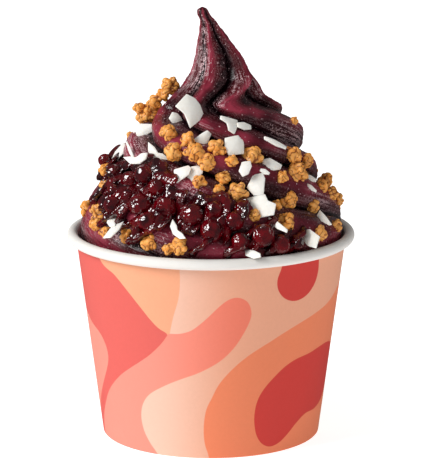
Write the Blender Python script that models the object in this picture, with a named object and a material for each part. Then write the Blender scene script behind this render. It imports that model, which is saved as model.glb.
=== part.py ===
"""A squat paper cup of acai soft serve, with berries, granola clusters and coconut flakes.

The cup is a tapered paper wall with a rolled rim and a folded foot that grips the base disc.
The acai fills it and rises in six twisted ribs to a hooked tip.  The berries lie in hollows of
the swirl.  Granola and coconut are stuck to it and are one solid with it.
Metres, +Z up, the origin at the centre of the foot, the front towards -Y.
"""

import math
import random

import bmesh
import bpy
from mathutils import Matrix, Vector, noise
from mathutils.bvhtree import BVHTree

MM = 0.001
CORNER_DIGITS = 7  # decimals of a metre to which a spun corner is rounded
GAP = 0.35 * MM  # clearance between neighbouring pieces

# ---- the cup ----
CUP_HEIGHT = 70.0 * MM
RIM_RADIUS = 48.5 * MM
FOOT_RADIUS = 36.7 * MM
WALL_TOP_RADIUS = 45.6 * MM
CURL_RADIUS = 1.8 * MM
PAPER = 0.6 * MM
HEM_HEIGHT = 6.0 * MM
CUP_STEPS = 48
CURL_START, CURL_END = math.radians(180), math.radians(-100)
CURL_OUTER_STEPS, CURL_INNER_STEPS = 10, 7

# ---- the swirl, in millimetres and degrees ----
# Height above the table and radius of the ribs' crests.
PROFILE = (
    (66.0, 43.6), (69.5, 44.1), (71.8, 44.9), (74.0, 44.8), (76.5, 43.8), (80.0, 42.0), (84.0, 39.9),
    (88.0, 37.6), (92.0, 35.5), (96.0, 33.5), (100.0, 31.0), (104.0, 28.4), (107.0, 25.6), (110.0, 22.0),
    (113.0, 18.6), (116.5, 15.9), (120.5, 13.2), (124.5, 10.4), (128.5, 8.4), (132.5, 6.4), (136.5, 4.5),
    (140.0, 3.0), (141.5, 2.4), (142.7, 2.3), (143.9, 1.9), (144.7, 1.2), (145.2, 0.0),
)
# Height and azimuth of the crease at the front, between the two ribs that face the eye.
WINDING = (
    (66.0, 502.0), (70.0, 483.0), (75.0, 460.0), (80.0, 436.0), (85.0, 414.0), (90.0, 395.0), (93.0, 381.0),
    (96.0, 363.0), (100.5, 335.0), (103.2, 319.0), (106.2, 302.0), (108.4, 287.0), (111.0, 272.0),
    (113.4, 265.0), (115.2, 268.0), (117.4, 277.0), (120.0, 285.0), (124.0, 288.0), (130.0, 285.0),
    (135.0, 281.0), (141.0, 294.0), (145.2, 304.0),
)
# Height and how far the swirl's middle stands to +X: the tip hooks over to -X.
LEAN = (
    (66.0, 0.0), (72.0, 0.2), (95.0, 0.2), (102.0, 1.1), (108.0, 1.9), (114.0, 1.2), (119.0, 1.3), (126.0, 2.3),
    (130.0, 2.1), (134.0, 1.1), (138.0, -0.1), (140.6, -1.1), (142.7, -2.4), (145.2, -2.9),
)
# Height and depth of the creases between the ribs.
CREASE_DEPTH = (
    (66.0, 0.0), (70.0, 0.7), (75.0, 2.8), (84.0, 4.7), (96.0, 5.2), (106.0, 5.8), (111.0, 6.8), (115.0, 7.2),
    (119.0, 6.2), (125.0, 4.6), (131.0, 3.2), (137.0, 1.7), (141.0, 0.6), (143.0, 0.1), (145.2, 0.0),
)
# Height and where a rib's crest lies across it: 0 is its lower edge and 1 its upper.
CREST_PLACE = ((66.0, 0.6), (106.0, 0.6), (114.0, 0.52), (120.0, 0.5), (145.2, 0.5))
# The two ribs that face the eye have crests of their own in the peak.
RIGHT_CREST = (
    (66.0, 0.6), (104.0, 0.6), (109.5, 0.42), (113.5, 0.18), (115.5, 0.26), (118.0, 0.46), (122.0, 0.62),
    (145.2, 0.7),
)
LEFT_CREST = (
    (66.0, 0.6), (106.0, 0.6), (114.0, 0.5), (120.0, 0.26), (124.0, 0.16), (128.0, 0.22), (137.0, 0.45),
    (145.2, 0.5),
)
# Height and how full the ribs are: 1 gives flat flanks and wide creases, more gives tight creases.
RIB_FULLNESS = ((66.0, 2.8), (106.0, 2.5), (114.0, 1.9), (122.0, 1.3), (145.2, 1.3))
RIB_EDGE = 0.28  # how much of a rib's cross-section is a plain ridge with an edge along its crest
RIBS = 6
RIB_ANGLE = 360.0 / RIBS
RIB_CRESTS = (RIGHT_CREST, CREST_PLACE, CREST_PLACE, CREST_PLACE, CREST_PLACE, LEFT_CREST)
# Height and each crease's own turn in degrees.
CREASE_SHIFTS = (
    ((66.0, 0.0), (113.5, 0.0), (116.5, 10.0), (119.5, 18.0), (126.0, 17.0), (137.0, 12.0), (145.2, 0.0)),
    ((66.0, 8.0), (145.2, 8.0)),
    ((66.0, 4.0), (106.0, 4.0), (111.0, -20.0), (118.0, -26.0), (125.0, -10.0), (145.2, 4.0)),
    ((66.0, 6.0), (145.2, 6.0)),
    ((66.0, 14.0), (145.2, 14.0)),
    ((66.0, 12.0), (145.2, 12.0)),
)
PEAK_CREASES = (1.05, 0.85, 0.9, 1.0, 0.9, 0.45)  # each crease's share of the depth, in the peak
RIB_SWELLS = (0.3, -0.6, 0.3, -0.3, 0.5, -0.1)  # each crest's own swelling, mm
FULL_DEPTH = 3.0  # a crease this deep is fully grown
PEAK_ABOVE, PEAK_BLEND = 118.0, 2.0  # the peak starts at this height, over so many mm
FOLD_TILT, FOLD_HEIGHT, FOLD_REACH = 3.0, 113.0, 14.0  # the peak's base is tipped, higher at +X
FOLD_AZIMUTH = 330.0
UNEVENNESS, UNEVEN_SIZE = 0.5, 11.0  # hand-dispensed waviness and its spacing, mm
WAVE_SEED = 3  # picks the waves, so that they are the same each time
SLENDER = 12.0  # under this radius, the waviness dies away
SWIRL_STEPS = 60
SWIRL_FOOT, SWIRL_TIP = PROFILE[0][0], PROFILE[-1][0]
SWIRL_ROWS = 27
ROW_CROWDING = 1.2  # over 1, the rows lie closer together towards the tip

# ---- toppings, in millimetres ----
# Each is placed as seen from VIEWPOINT: across and up, in the upright plane through the cup's axis.
VIEWPOINT = Vector((0.7, -1000.0, 294.0))
# across, up, diameter
BERRIES = (
    (-32.7, 92.9, 4.6), (-31.6, 87.6, 5.4), (-26.4, 85.6, 6.4), (-20.9, 86.2, 6.8), (-36.6, 78.6, 4.4),
    (-32.6, 79.4, 6.2), (-27.3, 79.2, 4.8), (-22.2, 78.0, 7.6), (-15.6, 83.0, 6.0), (-13.0, 76.6, 8.2),
    (-17.4, 70.4, 6.6), (-6.0, 71.6, 8.2), (2.2, 68.8, 7.8), (9.4, 71.6, 6.6), (9.2, 64.9, 6.2),
    (17.0, 66.6, 8.0), (23.0, 65.6, 6.6), (28.2, 64.0, 5.2), (2.4, 75.6, 5.8), (-35.4, 83.6, 4.6),
)
# across, up, diameter
GRANOLA = (
    (-14.2, 102.1, 6.2), (-7.8, 100.0, 5.4), (-12.2, 95.9, 6.6), (-5.5, 95.6, 6.8), (1.9, 97.0, 6.4),
    (-1.5, 92.0, 6.2), (13.6, 94.2, 7.2), (6.9, 92.7, 4.6), (27.1, 94.8, 6.2), (31.4, 92.8, 5.8),
    (28.8, 88.4, 7.4), (24.0, 87.2, 4.4), (4.6, 87.2, 5.6), (3.0, 82.8, 4.2), (-3.6, 85.4, 5.0),
    (9.6, 81.9, 6.4), (22.1, 77.4, 4.4), (26.3, 79.0, 6.2), (37.2, 84.3, 4.8), (40.4, 81.8, 4.8),
    (34.5, 77.2, 5.2), (26.4, 70.6, 6.4), (37.4, 66.1, 6.6), (42.4, 70.4, 4.8), (15.8, 71.4, 4.4),
    (-35.2, 89.6, 4.6), (-34.6, 86.2, 3.8), (-40.1, 78.2, 4.4), (-42.4, 75.1, 3.6), (-38.0, 75.5, 5.4),
    (-37.7, 71.0, 6.4), (-35.3, 67.9, 4.6), (-27.9, 66.5, 5.8), (-20.5, 64.1, 6.0), (-14.1, 61.7, 4.8),
    (-10.1, 63.0, 5.8), (38.4, 86.0, 5.4), (43.0, 79.6, 4.4), (27.6, 106.6, 3.0),
)
# These are stacked up beside the swirl's left shoulder, in that upright plane.
PILE = (
    (-20.6, 109.4, 7.2), (-18.6, 112.9, 5.8), (-16.0, 115.6, 4.8), (-13.6, 118.6, 6.8), (-24.0, 111.0, 4.6),
    (-23.2, 107.8, 4.6),
)
# Outlines of the coconut flakes, long way along x, as shares of the length and width.
SLAB = (
    (-0.5, 0.25), (-0.2, 0.5), (0.1, 0.5), (0.35, 0.4),
    (0.5, 0.05), (0.5, -0.5), (0.05, -0.4), (-0.35, -0.5),
)
CHUNK = ((-0.5, 0.15), (-0.25, 0.5), (0.15, 0.5), (0.45, 0.4), (0.5, 0.0), (0.1, -0.5), (-0.35, -0.45))
HALF_MOON = ((-0.5, 0.45), (0.0, 0.5), (0.5, 0.4), (0.4, 0.05), (0.15, -0.2), (-0.05, -0.5), (-0.3, -0.35))
CRESCENT = (
    (-0.5, 0.45), (-0.2, 0.45), (0.05, 0.2), (0.25, 0.5),
    (0.5, 0.45), (0.4, -0.15), (0.1, -0.5), (-0.25, -0.35),
)
FAN = (
    (-0.5, 0.45), (0.0, 0.5), (0.35, 0.5), (0.5, 0.15),
    (0.5, -0.5), (0.15, -0.4), (-0.1, 0.0), (-0.45, 0.2),
)
TILE = ((-0.45, 0.5), (0.5, 0.5), (0.5, -0.1), (0.35, -0.5), (-0.4, -0.5), (-0.5, -0.05))
WEDGE = ((-0.4, 0.5), (0.35, 0.5), (0.5, 0.25), (0.3, -0.2), (-0.1, -0.4), (-0.45, -0.5), (-0.5, -0.15))
PETAL = ((-0.45, 0.5), (0.25, 0.5), (0.5, 0.0), (0.4, -0.45), (0.1, -0.5), (-0.3, -0.25), (-0.5, 0.05))
PLANK = ((-0.5, 0.05), (-0.2, 0.5), (0.1, 0.3), (0.35, 0.2), (0.5, -0.35), (0.25, -0.5), (-0.5, -0.5))
STAR = (
    (-0.5, -0.35), (-0.3, 0.15), (-0.1, 0.5), (0.1, 0.4), (0.4, 0.5),
    (0.5, 0.05), (0.25, -0.5), (-0.1, -0.45), (-0.4, -0.5),
)
SHARD = ((-0.5, 0.3), (-0.1, 0.5), (0.5, 0.2), (0.5, -0.5), (0.05, -0.5), (-0.4, -0.15))
BLADE = ((-0.5, 0.45), (-0.15, 0.35), (0.15, 0.5), (0.5, -0.05), (0.3, -0.45), (0.0, -0.5), (-0.3, -0.15))
SLIVER = ((-0.5, 0.1), (-0.1, 0.5), (0.45, 0.5), (0.5, 0.0), (0.1, -0.5), (-0.4, -0.45))
# across, up, length, width, the long way's angle above level, outline
FLAKES = (
    (-6.9, 110.9, 10.1, 6.8, -56.0, SLAB), (-11.8, 107.4, 4.8, 3.4, -52.0, CHUNK),
    (-22.1, 103.4, 8.8, 5.0, 0.0, HALF_MOON), (-25.9, 106.8, 4.4, 2.8, 18.0, CHUNK),
    (-1.9, 101.0, 7.5, 3.9, 34.0, HALF_MOON), (-18.6, 95.6, 8.9, 3.1, -40.0, CRESCENT),
    (-25.7, 90.9, 8.5, 3.3, 10.0, CRESCENT), (5.9, 105.6, 6.5, 4.5, -20.0, FAN),
    (11.1, 104.9, 4.8, 2.2, -22.0, SLIVER), (8.1, 98.4, 6.3, 6.1, 10.0, TILE),
    (21.5, 99.3, 8.3, 1.6, -30.0, SLIVER), (-9.3, 88.7, 6.2, 4.3, 18.0, WEDGE),
    (-5.2, 88.8, 6.0, 4.4, 72.0, PETAL), (11.5, 90.4, 4.9, 4.2, 100.0, SHARD),
    (20.4, 91.5, 6.6, 3.8, -24.0, CHUNK), (18.0, 89.4, 3.4, 1.8, -38.0, SLIVER),
    (15.0, 85.4, 8.0, 5.6, 86.0, PLANK), (16.5, 78.2, 11.0, 7.0, -40.0, STAR),
    (21.5, 69.5, 7.6, 2.0, -40.0, SLIVER), (31.6, 65.9, 6.2, 5.4, -16.0, SHARD),
    (37.8, 73.0, 6.6, 2.6, -50.0, HALF_MOON), (33.5, 87.1, 4.2, 1.8, -36.0, SLIVER),
    (33.8, 83.8, 4.4, 1.3, -44.0, SLIVER), (-32.3, 71.3, 11.6, 3.0, 57.0, BLADE),
    (-33.3, 73.2, 5.2, 2.8, 80.0, CHUNK), (-31.4, 97.6, 7.4, 2.4, 48.0, SLIVER),
    (-27.1, 96.6, 7.3, 1.1, -70.0, SLIVER), (13.1, 61.6, 5.3, 2.5, -16.0, CHUNK),
    (-11.2, 69.5, 7.5, 2.7, -58.0, CRESCENT),
)
# The back has fewer, set out by a rule: how many, and their spread in azimuth and height.
BACK_GRANOLA, BACK_FLAKES = 12, 8
BACK_AZIMUTHS, BACK_HEIGHTS = (24.0, 160.0), (74.0, 108.0)
BACK_SEED = 7
BACK_SHAKE = (6.0, 2.0)  # how far such a place is shaken, in degrees round the swirl and mm up it
BACK_CROWDING = 1.2  # over 1, the back's toppings lie closer together towards the foot
BACK_CLUSTERS, BACK_CHIPS = (4.4, 7.0), (5.0, 9.5)  # sizes of the back's clusters and lengths of its flakes, mm
BACK_SWEEP = 60.0  # the most degrees by which a flake at the back lies off level
BACK_OUTLINES = ((CHUNK, 0.8), (CRESCENT, 0.42), (SLIVER, 0.25))  # with each one's width over its length
FLAKE_THICKNESS = 0.8
FLAKE_LIFT = 0.9  # how far a flake's middle stands off the swirl
FLAKE_TIP = 8.0  # the most degrees by which a flake tips
FLAKE_SHAKE = 0.03  # how far a corner of a flake may move, as a share of its length or width
FACE_THE_EYE = 0.8  # how far a flake turns from the skin towards the viewpoint
FLAKE_STAND = 0.55  # the share of a turned flake's dip into the skin that lifting it takes back
MOST_SLOPE = 0.5  # a flake is lifted along the line of sight as if the skin faced the eye at least this much
BERRY_SINK = 0.45  # the share of a berry's radius that lies above the swirl's surface
BERRY_ROUNDS, BERRY_PUSH = 60, 0.55  # how often berries are pushed apart, and the share of the lack each takes
BERRY_SQUATS = ((0.97, 1.0, 0.96), (1.0, 0.98, 0.94))  # the berries are flattened in two ways, by turns
SETTLING_TRIES = 8  # how often a topping is shifted out of the cup and the berries
CLEARING_TRIES = 12  # how often a topping is moved away from the berries before it is left out
CLUSTER_REACH = 1.15  # a granola cluster's reach over its half size
CLUSTER_BALL = 0.52  # the radius of its ball over its size
CLUSTER_STRETCH, CLUSTER_KNOCKS = (0.85, 1.15), (0.86, 1.1)
GRANOLA_LIFT = 0.12  # the share of a cluster's size by which its middle stands off the skin
PROUD = 0.3  # the further share by which a cluster past the swirl's outline stands off it

COLOURS = {  # red, green, blue, roughness
    "cup_wall": (0.93, 0.62, 0.48, 0.55),
    "cup_base": (0.92, 0.91, 0.88, 0.6),
    "acai": (0.070, 0.018, 0.030, 0.42),
    "berry": (0.110, 0.004, 0.010, 0.15),
}


def clear_scene():
    for thing in list(bpy.data.objects):
        bpy.data.objects.remove(thing)


def material(name):
    """A Principled material with the named piece's colour and roughness."""
    red, green, blue, roughness = COLOURS[name]
    made = bpy.data.materials.new(name)
    made.use_nodes = True
    shader = made.node_tree.nodes["Principled BSDF"]
    shader.inputs["Base Color"].default_value = (red, green, blue, 1.0)
    shader.inputs["Roughness"].default_value = roughness
    shader.inputs["Metallic"].default_value = 0.0
    return made


def piece(name, mesh, finish, smooth_angle=40.0):
    """Names a finished bmesh as an object of the scene."""
    bmesh.ops.recalc_face_normals(mesh, faces=mesh.faces)
    data = bpy.data.meshes.new(name)
    mesh.to_mesh(data)
    mesh.free()
    data.shade_smooth()
    data.set_sharp_from_angle(angle=math.radians(smooth_angle))
    if finish is not None:
        data.materials.append(finish)
    made = bpy.data.objects.new(name, data)
    bpy.context.scene.collection.objects.link(made)
    return made


def smooth_value(points, at):
    """The value at a height of the smooth curve through (height, value) points."""
    last = len(points) - 1
    if at <= points[0][0]:
        return points[0][1]
    if at >= points[last][0]:
        return points[last][1]
    i = max(k for k in range(last) if points[k][0] <= at)

    def slope(k):
        low, high = points[max(k - 1, 0)], points[min(k + 1, last)]
        return (high[1] - low[1]) / (high[0] - low[0])

    (x0, y0), (x1, y1) = points[i], points[i + 1]
    span = x1 - x0
    t = (at - x0) / span
    return (
        y0 * (1 + 2 * t) * (1 - t) ** 2
        + y1 * t * t * (3 - 2 * t)
        + span * (slope(i) * t * (1 - t) ** 2 - slope(i + 1) * t * t * (1 - t))
    )


def wall_radius(height):
    """Outer radius of the paper wall at a height."""
    top = CUP_HEIGHT - CURL_RADIUS
    return FOOT_RADIUS + (WALL_TOP_RADIUS - FOOT_RADIUS) * height / top


def arc(centre, radius, start, end, steps):
    """Points of an arc in the profile's plane, both ends included."""
    return [
        (
            centre[0] + radius * math.cos(start + (end - start) * k / steps),
            centre[1] + radius * math.sin(start + (end - start) * k / steps),
        )
        for k in range(steps + 1)
    ]


def in_order(mesh):
    """The same faces in a new bmesh, in an order that never changes; the first bmesh is freed."""
    loops = []
    for face in mesh.faces:
        corners = [tuple(round(c, CORNER_DIGITS) + 0.0 for c in vert.co) for vert in face.verts]
        first = corners.index(min(corners))
        loops.append(corners[first:] + corners[:first])
    mesh.free()
    made = bmesh.new()
    verts = {}
    for corners in sorted(loops):
        for corner in corners:
            if corner not in verts:
                verts[corner] = made.verts.new(corner)
        made.faces.new([verts[corner] for corner in corners])
    return made


def turned(profile, steps, closed=True):
    """A bmesh of the (radius, height) profile spun once round the Z axis."""
    mesh = bmesh.new()
    verts = [mesh.verts.new((radius, 0.0, height)) for radius, height in profile]
    ends = list(zip(verts, verts[1:])) + ([(verts[-1], verts[0])] if closed else [])
    edges = [mesh.edges.new(pair) for pair in ends]
    bmesh.ops.spin(
        mesh,
        geom=verts + edges,
        cent=(0, 0, 0),
        axis=(0, 0, 1),
        angle=2 * math.pi,
        steps=steps,
        use_merge=True,
    )
    bmesh.ops.remove_doubles(mesh, verts=mesh.verts, dist=1e-6)
    return in_order(mesh)


def build_cup_wall():
    """One paper blank: outer face, rolled rim, inner face, and the hem folded up round the base's skirt."""
    rim = (RIM_RADIUS - CURL_RADIUS, CUP_HEIGHT - CURL_RADIUS)
    outer_curl = arc(rim, CURL_RADIUS, CURL_END, CURL_START, CURL_OUTER_STEPS)
    inner_curl = arc(rim, CURL_RADIUS - PAPER, math.radians(165), CURL_END, CURL_INNER_STEPS)
    slot = PAPER + 2 * GAP  # between the wall and its hem, for the base's skirt
    hem = wall_radius(0) - PAPER - slot
    flare = wall_radius(HEM_HEIGHT) - wall_radius(0)
    profile = [
        (wall_radius(0), 0.0),
        (wall_radius(CUP_HEIGHT - 2 * CURL_RADIUS), CUP_HEIGHT - 2 * CURL_RADIUS),
        *inner_curl,
        *outer_curl,
        (wall_radius(HEM_HEIGHT) - PAPER, HEM_HEIGHT),
        (wall_radius(PAPER) - PAPER, PAPER),
        (hem, PAPER),
        (hem + flare, HEM_HEIGHT),
        (hem + flare - PAPER, HEM_HEIGHT),
        (hem - PAPER, 0.0),
    ]
    return piece("cup_wall", turned(profile, CUP_STEPS), material("cup_wall"))


def build_cup_base():
    """The paper disc, with a skirt that hangs in the wall's folded hem."""
    top = HEM_HEIGHT + GAP + PAPER
    foot = PAPER + GAP
    outer_top = wall_radius(top) - PAPER - GAP
    outer_foot = wall_radius(foot) - PAPER - GAP
    profile = [
        (0.0, top),
        (outer_top, top),
        (outer_foot, foot),
        (outer_foot - PAPER, foot),
        (outer_top - PAPER, top - PAPER),
        (0.0, top - PAPER),
    ]
    return piece("cup_base", turned(profile, CUP_STEPS, closed=False), material("cup_base"))


def in_peak(height):
    """How far a height lies in the peak, from 0 below it to 1."""
    return 1 / (1 + math.exp((PEAK_ABOVE - height) / PEAK_BLEND))


def rib_shape(turn, height):
    """Which rib, where across it, and its lobe there: 0 in a crease and 1 on the crest."""
    rib = int(turn // RIB_ANGLE) % RIBS
    share = (turn % RIB_ANGLE) / RIB_ANGLE
    crest = smooth_value(RIB_CRESTS[rib], height)
    off = (crest - share) / crest if share < crest else (share - crest) / (1 - crest)
    lobe = 1 - RIB_EDGE * off - (1 - RIB_EDGE) * off ** smooth_value(RIB_FULLNESS, height)
    return rib, share, lobe


def swirl_point(turn, height):
    """A point of the swirl's skin, in mm: turn counts degrees across the ribs, height runs up them."""
    rib, share, lobe = rib_shape(turn, height)
    above = (rib + 1) % RIBS
    deepening = PEAK_CREASES[rib] * (1 - share) + PEAK_CREASES[above] * share - 1
    depth = smooth_value(CREASE_DEPTH, height) * (1 + in_peak(height) * deepening)
    grown = min(1.0, depth / FULL_DEPTH)
    shifts = [smooth_value(CREASE_SHIFTS[crease], height) for crease in (rib, above)]
    shift = shifts[0] * (1 - share) + shifts[1] * share
    azimuth = math.radians(turn + shift * grown + smooth_value(WINDING, height))
    radius = smooth_value(PROFILE, height) - depth * (1 - lobe) + RIB_SWELLS[rib] * lobe * grown
    near_fold = math.exp(-(((height - FOLD_HEIGHT) / FOLD_REACH) ** 2))
    rise = FOLD_TILT * near_fold * math.cos(azimuth - math.radians(FOLD_AZIMUTH))
    point = Vector((radius * math.cos(azimuth), radius * math.sin(azimuth), height + rise))
    waves = noise.noise_vector(point / UNEVEN_SIZE) * UNEVENNESS * min(1.0, radius / SLENDER) * grown
    return point + waves + Vector((smooth_value(LEAN, height), 0, 0))


def swirl_skin(steps, rows):
    """A bmesh of the whole acai: spun as a plain cone of rows, then each row wound into ribs."""
    floor = HEM_HEIGHT + 2 * GAP + PAPER
    shoulder = SWIRL_FOOT * MM - 2 * GAP
    profile = [(0.0, floor)] + [(wall_radius(h) - PAPER - GAP, h) for h in (floor, shoulder)]
    for k in range(rows + 1):
        left = (1 - k / rows) ** ROW_CROWDING  # the share of the way up that is still to go
        profile.append((left * shoulder, (SWIRL_TIP - left * (SWIRL_TIP - SWIRL_FOOT)) * MM))
    noise.seed_set(WAVE_SEED)
    mesh = turned(profile, steps, closed=False)
    for vert in mesh.verts:
        if vert.co.z > shoulder + GAP:
            turn = math.degrees(math.atan2(vert.co.y, vert.co.x))
            vert.co = swirl_point(round(turn, 4) % 360.0, vert.co.z / MM) * MM
    return mesh


def seen_place(tree, across, up, proud=0.0):
    """Where the line of sight through a point of the upright middle plane meets the skin.

    Past the outline it is the skin's nearest point to that one, and stands proud of it as far as allowed.
    """
    eye = VIEWPOINT * MM
    target = Vector((across, 0.0, up)) * MM
    place, normal, _, _ = tree.ray_cast(eye, (target - eye).normalized())
    if place is None:
        place, normal, _, distance = tree.find_nearest(target)
        place += (target - place).normalized() * min(distance, proud)
    return place, normal


def back_places(tree, count, seed):
    """Places on the back of the swirl, spread by the golden ratio and then shaken a little."""
    rng = random.Random(seed)
    golden = (math.sqrt(5) - 1) / 2
    for k in range(count):
        azimuth = BACK_AZIMUTHS[0] + (BACK_AZIMUTHS[1] - BACK_AZIMUTHS[0]) * (k * golden % 1.0)
        height = BACK_HEIGHTS[0] + (BACK_HEIGHTS[1] - BACK_HEIGHTS[0]) * ((k + 0.5) / count) ** BACK_CROWDING
        azimuth += rng.uniform(-BACK_SHAKE[0], BACK_SHAKE[0])
        height += rng.uniform(-BACK_SHAKE[1], BACK_SHAKE[1])
        out = Vector((math.cos(math.radians(azimuth)), math.sin(math.radians(azimuth)), 0.0))
        start = out * 2 * RIM_RADIUS + Vector((0, 0, height * MM))
        place, normal, _, _ = tree.ray_cast(start, -out)
        yield place, normal


def inside_rim(centre, reach):
    """Moves a centre away from the rim's roll, or from the wall below it, where its piece would meet them."""
    roll = Vector((RIM_RADIUS - CURL_RADIUS, CUP_HEIGHT - CURL_RADIUS))
    away = Vector((centre.xy.length, centre.z)) - roll
    if away.y < 0:
        away.x = min(away.x, wall_radius(centre.z) - PAPER - GAP - reach - roll.x)
    elif away.length < CURL_RADIUS + GAP + reach:
        away = away.normalized() * (CURL_RADIUS + GAP + reach)
    flat = centre.xy.normalized() * (roll.x + away.x)
    return Vector((flat.x, flat.y, roll.y + away.y))


def berry_places(tree):
    """Centres and radii of the berries, pushed apart until none touches another."""
    places = []
    for across, up, size in BERRIES:
        radius = size / 2 * MM
        place, normal = seen_place(tree, across, up)
        places.append([place + normal * radius * BERRY_SINK, radius])
    for _ in range(BERRY_ROUNDS):
        for i, (one, first) in enumerate(places):
            for other in places[i + 1 :]:
                apart = other[0] - one
                lack = first + other[1] + GAP - apart.length
                if lack > 0:
                    push = apart.normalized() * lack * BERRY_PUSH
                    one -= push
                    other[0] = other[0] + push
            places[i][0] = one
        for entry in places:
            near, normal, _, _ = tree.find_nearest(entry[0])
            entry[0] = inside_rim(near + normal * entry[1] * BERRY_SINK, entry[1])
    return [(centre, radius) for centre, radius in places]


def keep_clear(place, reach, berries, tree):
    """A place on the skin moved away from the berries, or None if it can't be."""
    for _ in range(CLEARING_TRIES):
        crowding = [(c, r) for c, r in berries if (place - c).length < r + reach + GAP]
        if not crowding:
            return place
        for centre, radius in crowding:
            lack = radius + reach + 2 * GAP - (place - centre).length
            place = place + (place - centre).normalized() * lack
        place, _, _, _ = tree.find_nearest(place)
    return None


def clear_point(point, berries):
    """A point moved out of the rim, the wall and the berries."""
    point = inside_rim(point, 0)
    for centre, radius in berries:
        apart = point - centre
        if apart.length < radius + GAP:
            point = centre + apart.normalized() * (radius + GAP)
    return point


def settle(mesh, berries):
    """Shifts a topping until no corner, edge or face of it lies in the cup or in a berry."""
    for _ in range(SETTLING_TRIES):
        points = [vert.co for vert in mesh.verts] + [face.calc_center_median() for face in mesh.faces]
        points += [(edge.verts[0].co + edge.verts[1].co) / 2 for edge in mesh.edges]
        shift = max((clear_point(point, berries) - point for point in points), key=lambda s: s.length)
        bmesh.ops.translate(mesh, verts=mesh.verts, vec=shift)
    return mesh


def ball(centre, radius, subdivisions, stretch=(1, 1, 1), turn=0.0):
    """A bmesh of a ball that may be stretched along three axes and turned about the upright one."""
    mesh = bmesh.new()
    shape = Matrix.Translation(centre) @ Matrix.Rotation(turn, 4, "Z") @ Matrix.Diagonal((*stretch, 1))
    bmesh.ops.create_icosphere(mesh, subdivisions=subdivisions, radius=radius, matrix=shape)
    return mesh


def build_berries(places):
    """Each berry is a slightly flattened ball of its own."""
    finish = material("berry")
    for number, (centre, radius) in enumerate(places, 1):
        mesh = ball(centre, radius, 2, BERRY_SQUATS[number % 2], number)
        piece(f"berry_{number:02d}", mesh, finish, 80.0)


def granola(place, normal, size, seed):
    """A granola cluster: a ball of few faces, knocked out of shape and sunk a little into the skin."""
    rng = random.Random(seed)
    stretch = [rng.uniform(*CLUSTER_STRETCH) for _ in range(3)]
    middle = place + normal * size * GRANOLA_LIFT
    mesh = ball(middle, size * CLUSTER_BALL, 1, stretch, rng.uniform(0, 2 * math.pi))
    for vert in mesh.verts:
        vert.co = middle + (vert.co - middle) * rng.uniform(*CLUSTER_KNOCKS)
    return mesh


def flake_frame(normal, sight, angle, seed):
    """Axes of a flake: along, across and out of it.  Its outline is true as seen along the line of sight."""
    rng = random.Random(seed)
    facing = (normal + sight * FACE_THE_EYE).normalized()
    level = Vector((0, 0, 1)).cross(sight).normalized()
    rise = Vector((0, 0, 1))
    turn = math.radians(angle)
    seen = (level * math.cos(turn) + rise * math.sin(turn), rise * math.cos(turn) - level * math.sin(turn))
    facing.rotate(Matrix.Rotation(math.radians(rng.uniform(-FLAKE_TIP, FLAKE_TIP)), 3, seen[0]))
    along, across = (way - sight * way.dot(facing) / sight.dot(facing) for way in seen)
    return along, across, facing


def flake(place, normal, sight, length, width, angle, outline, seed):
    """A flat chip of coconut: its outline extruded to its thickness."""
    rng = random.Random(seed)
    along, across, out = flake_frame(normal, sight, angle, seed)
    dip = length / 2 * out.cross(normal).length
    lift = (FLAKE_LIFT + FLAKE_STAND * dip) / max(MOST_SLOPE, sight.dot(normal))
    middle = place + (sight * lift - out * FLAKE_THICKNESS / 2) * MM
    mesh = bmesh.new()
    verts = []
    for x, y in outline:
        x += rng.uniform(-FLAKE_SHAKE, FLAKE_SHAKE)
        y += rng.uniform(-FLAKE_SHAKE, FLAKE_SHAKE)
        verts.append(mesh.verts.new(middle + (along * x * length + across * y * width) * MM))
    face = mesh.faces.new(verts)
    made = bmesh.ops.extrude_face_region(mesh, geom=[face])
    top = [v for v in made["geom"] if isinstance(v, bmesh.types.BMVert)]
    bmesh.ops.translate(mesh, verts=top, vec=out * FLAKE_THICKNESS * MM)
    return mesh


def topping_meshes(tree, berries):
    """Every granola lump and coconut flake, each sunk a little way into the skin and clear of the berries."""
    clusters = [(*seen_place(tree, across, up, size * PROUD * MM), size) for across, up, size in GRANOLA]
    clusters += [(Vector((across, 0, up)) * MM, Vector(), size) for across, up, size in PILE]
    rng = random.Random(BACK_SEED)
    clusters += [(p, n, rng.uniform(*BACK_CLUSTERS)) for p, n in back_places(tree, BACK_GRANOLA, BACK_SEED)]
    for seed, (place, normal, size) in enumerate(clusters):
        reach = size / 2 * CLUSTER_REACH * MM
        place = keep_clear(inside_rim(place, reach), reach, berries, tree)
        if place is None:
            continue
        yield settle(granola(place, normal, size * MM, seed), berries)
    chips = []
    for across, up, *shape in FLAKES:
        place, normal = seen_place(tree, across, up)
        chips.append((place, normal, (VIEWPOINT * MM - place).normalized(), *shape))
    for place, normal in back_places(tree, BACK_FLAKES, BACK_SEED + 1):
        outline, share = rng.choice(BACK_OUTLINES)
        length = rng.uniform(*BACK_CHIPS)
        chips.append((place, normal, normal, length, length * share, rng.uniform(-BACK_SWEEP, BACK_SWEEP), outline))
    for seed, (place, normal, sight, length, width, angle, outline) in enumerate(chips):
        inward = inside_rim(place, (width / 2 + FLAKE_LIFT) * MM)
        place = keep_clear(inward, (length + width) / 4 * MM, berries, tree)
        if place is not None:
            yield settle(flake(place, normal, sight, length, width, angle, outline, seed), berries)


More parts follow.
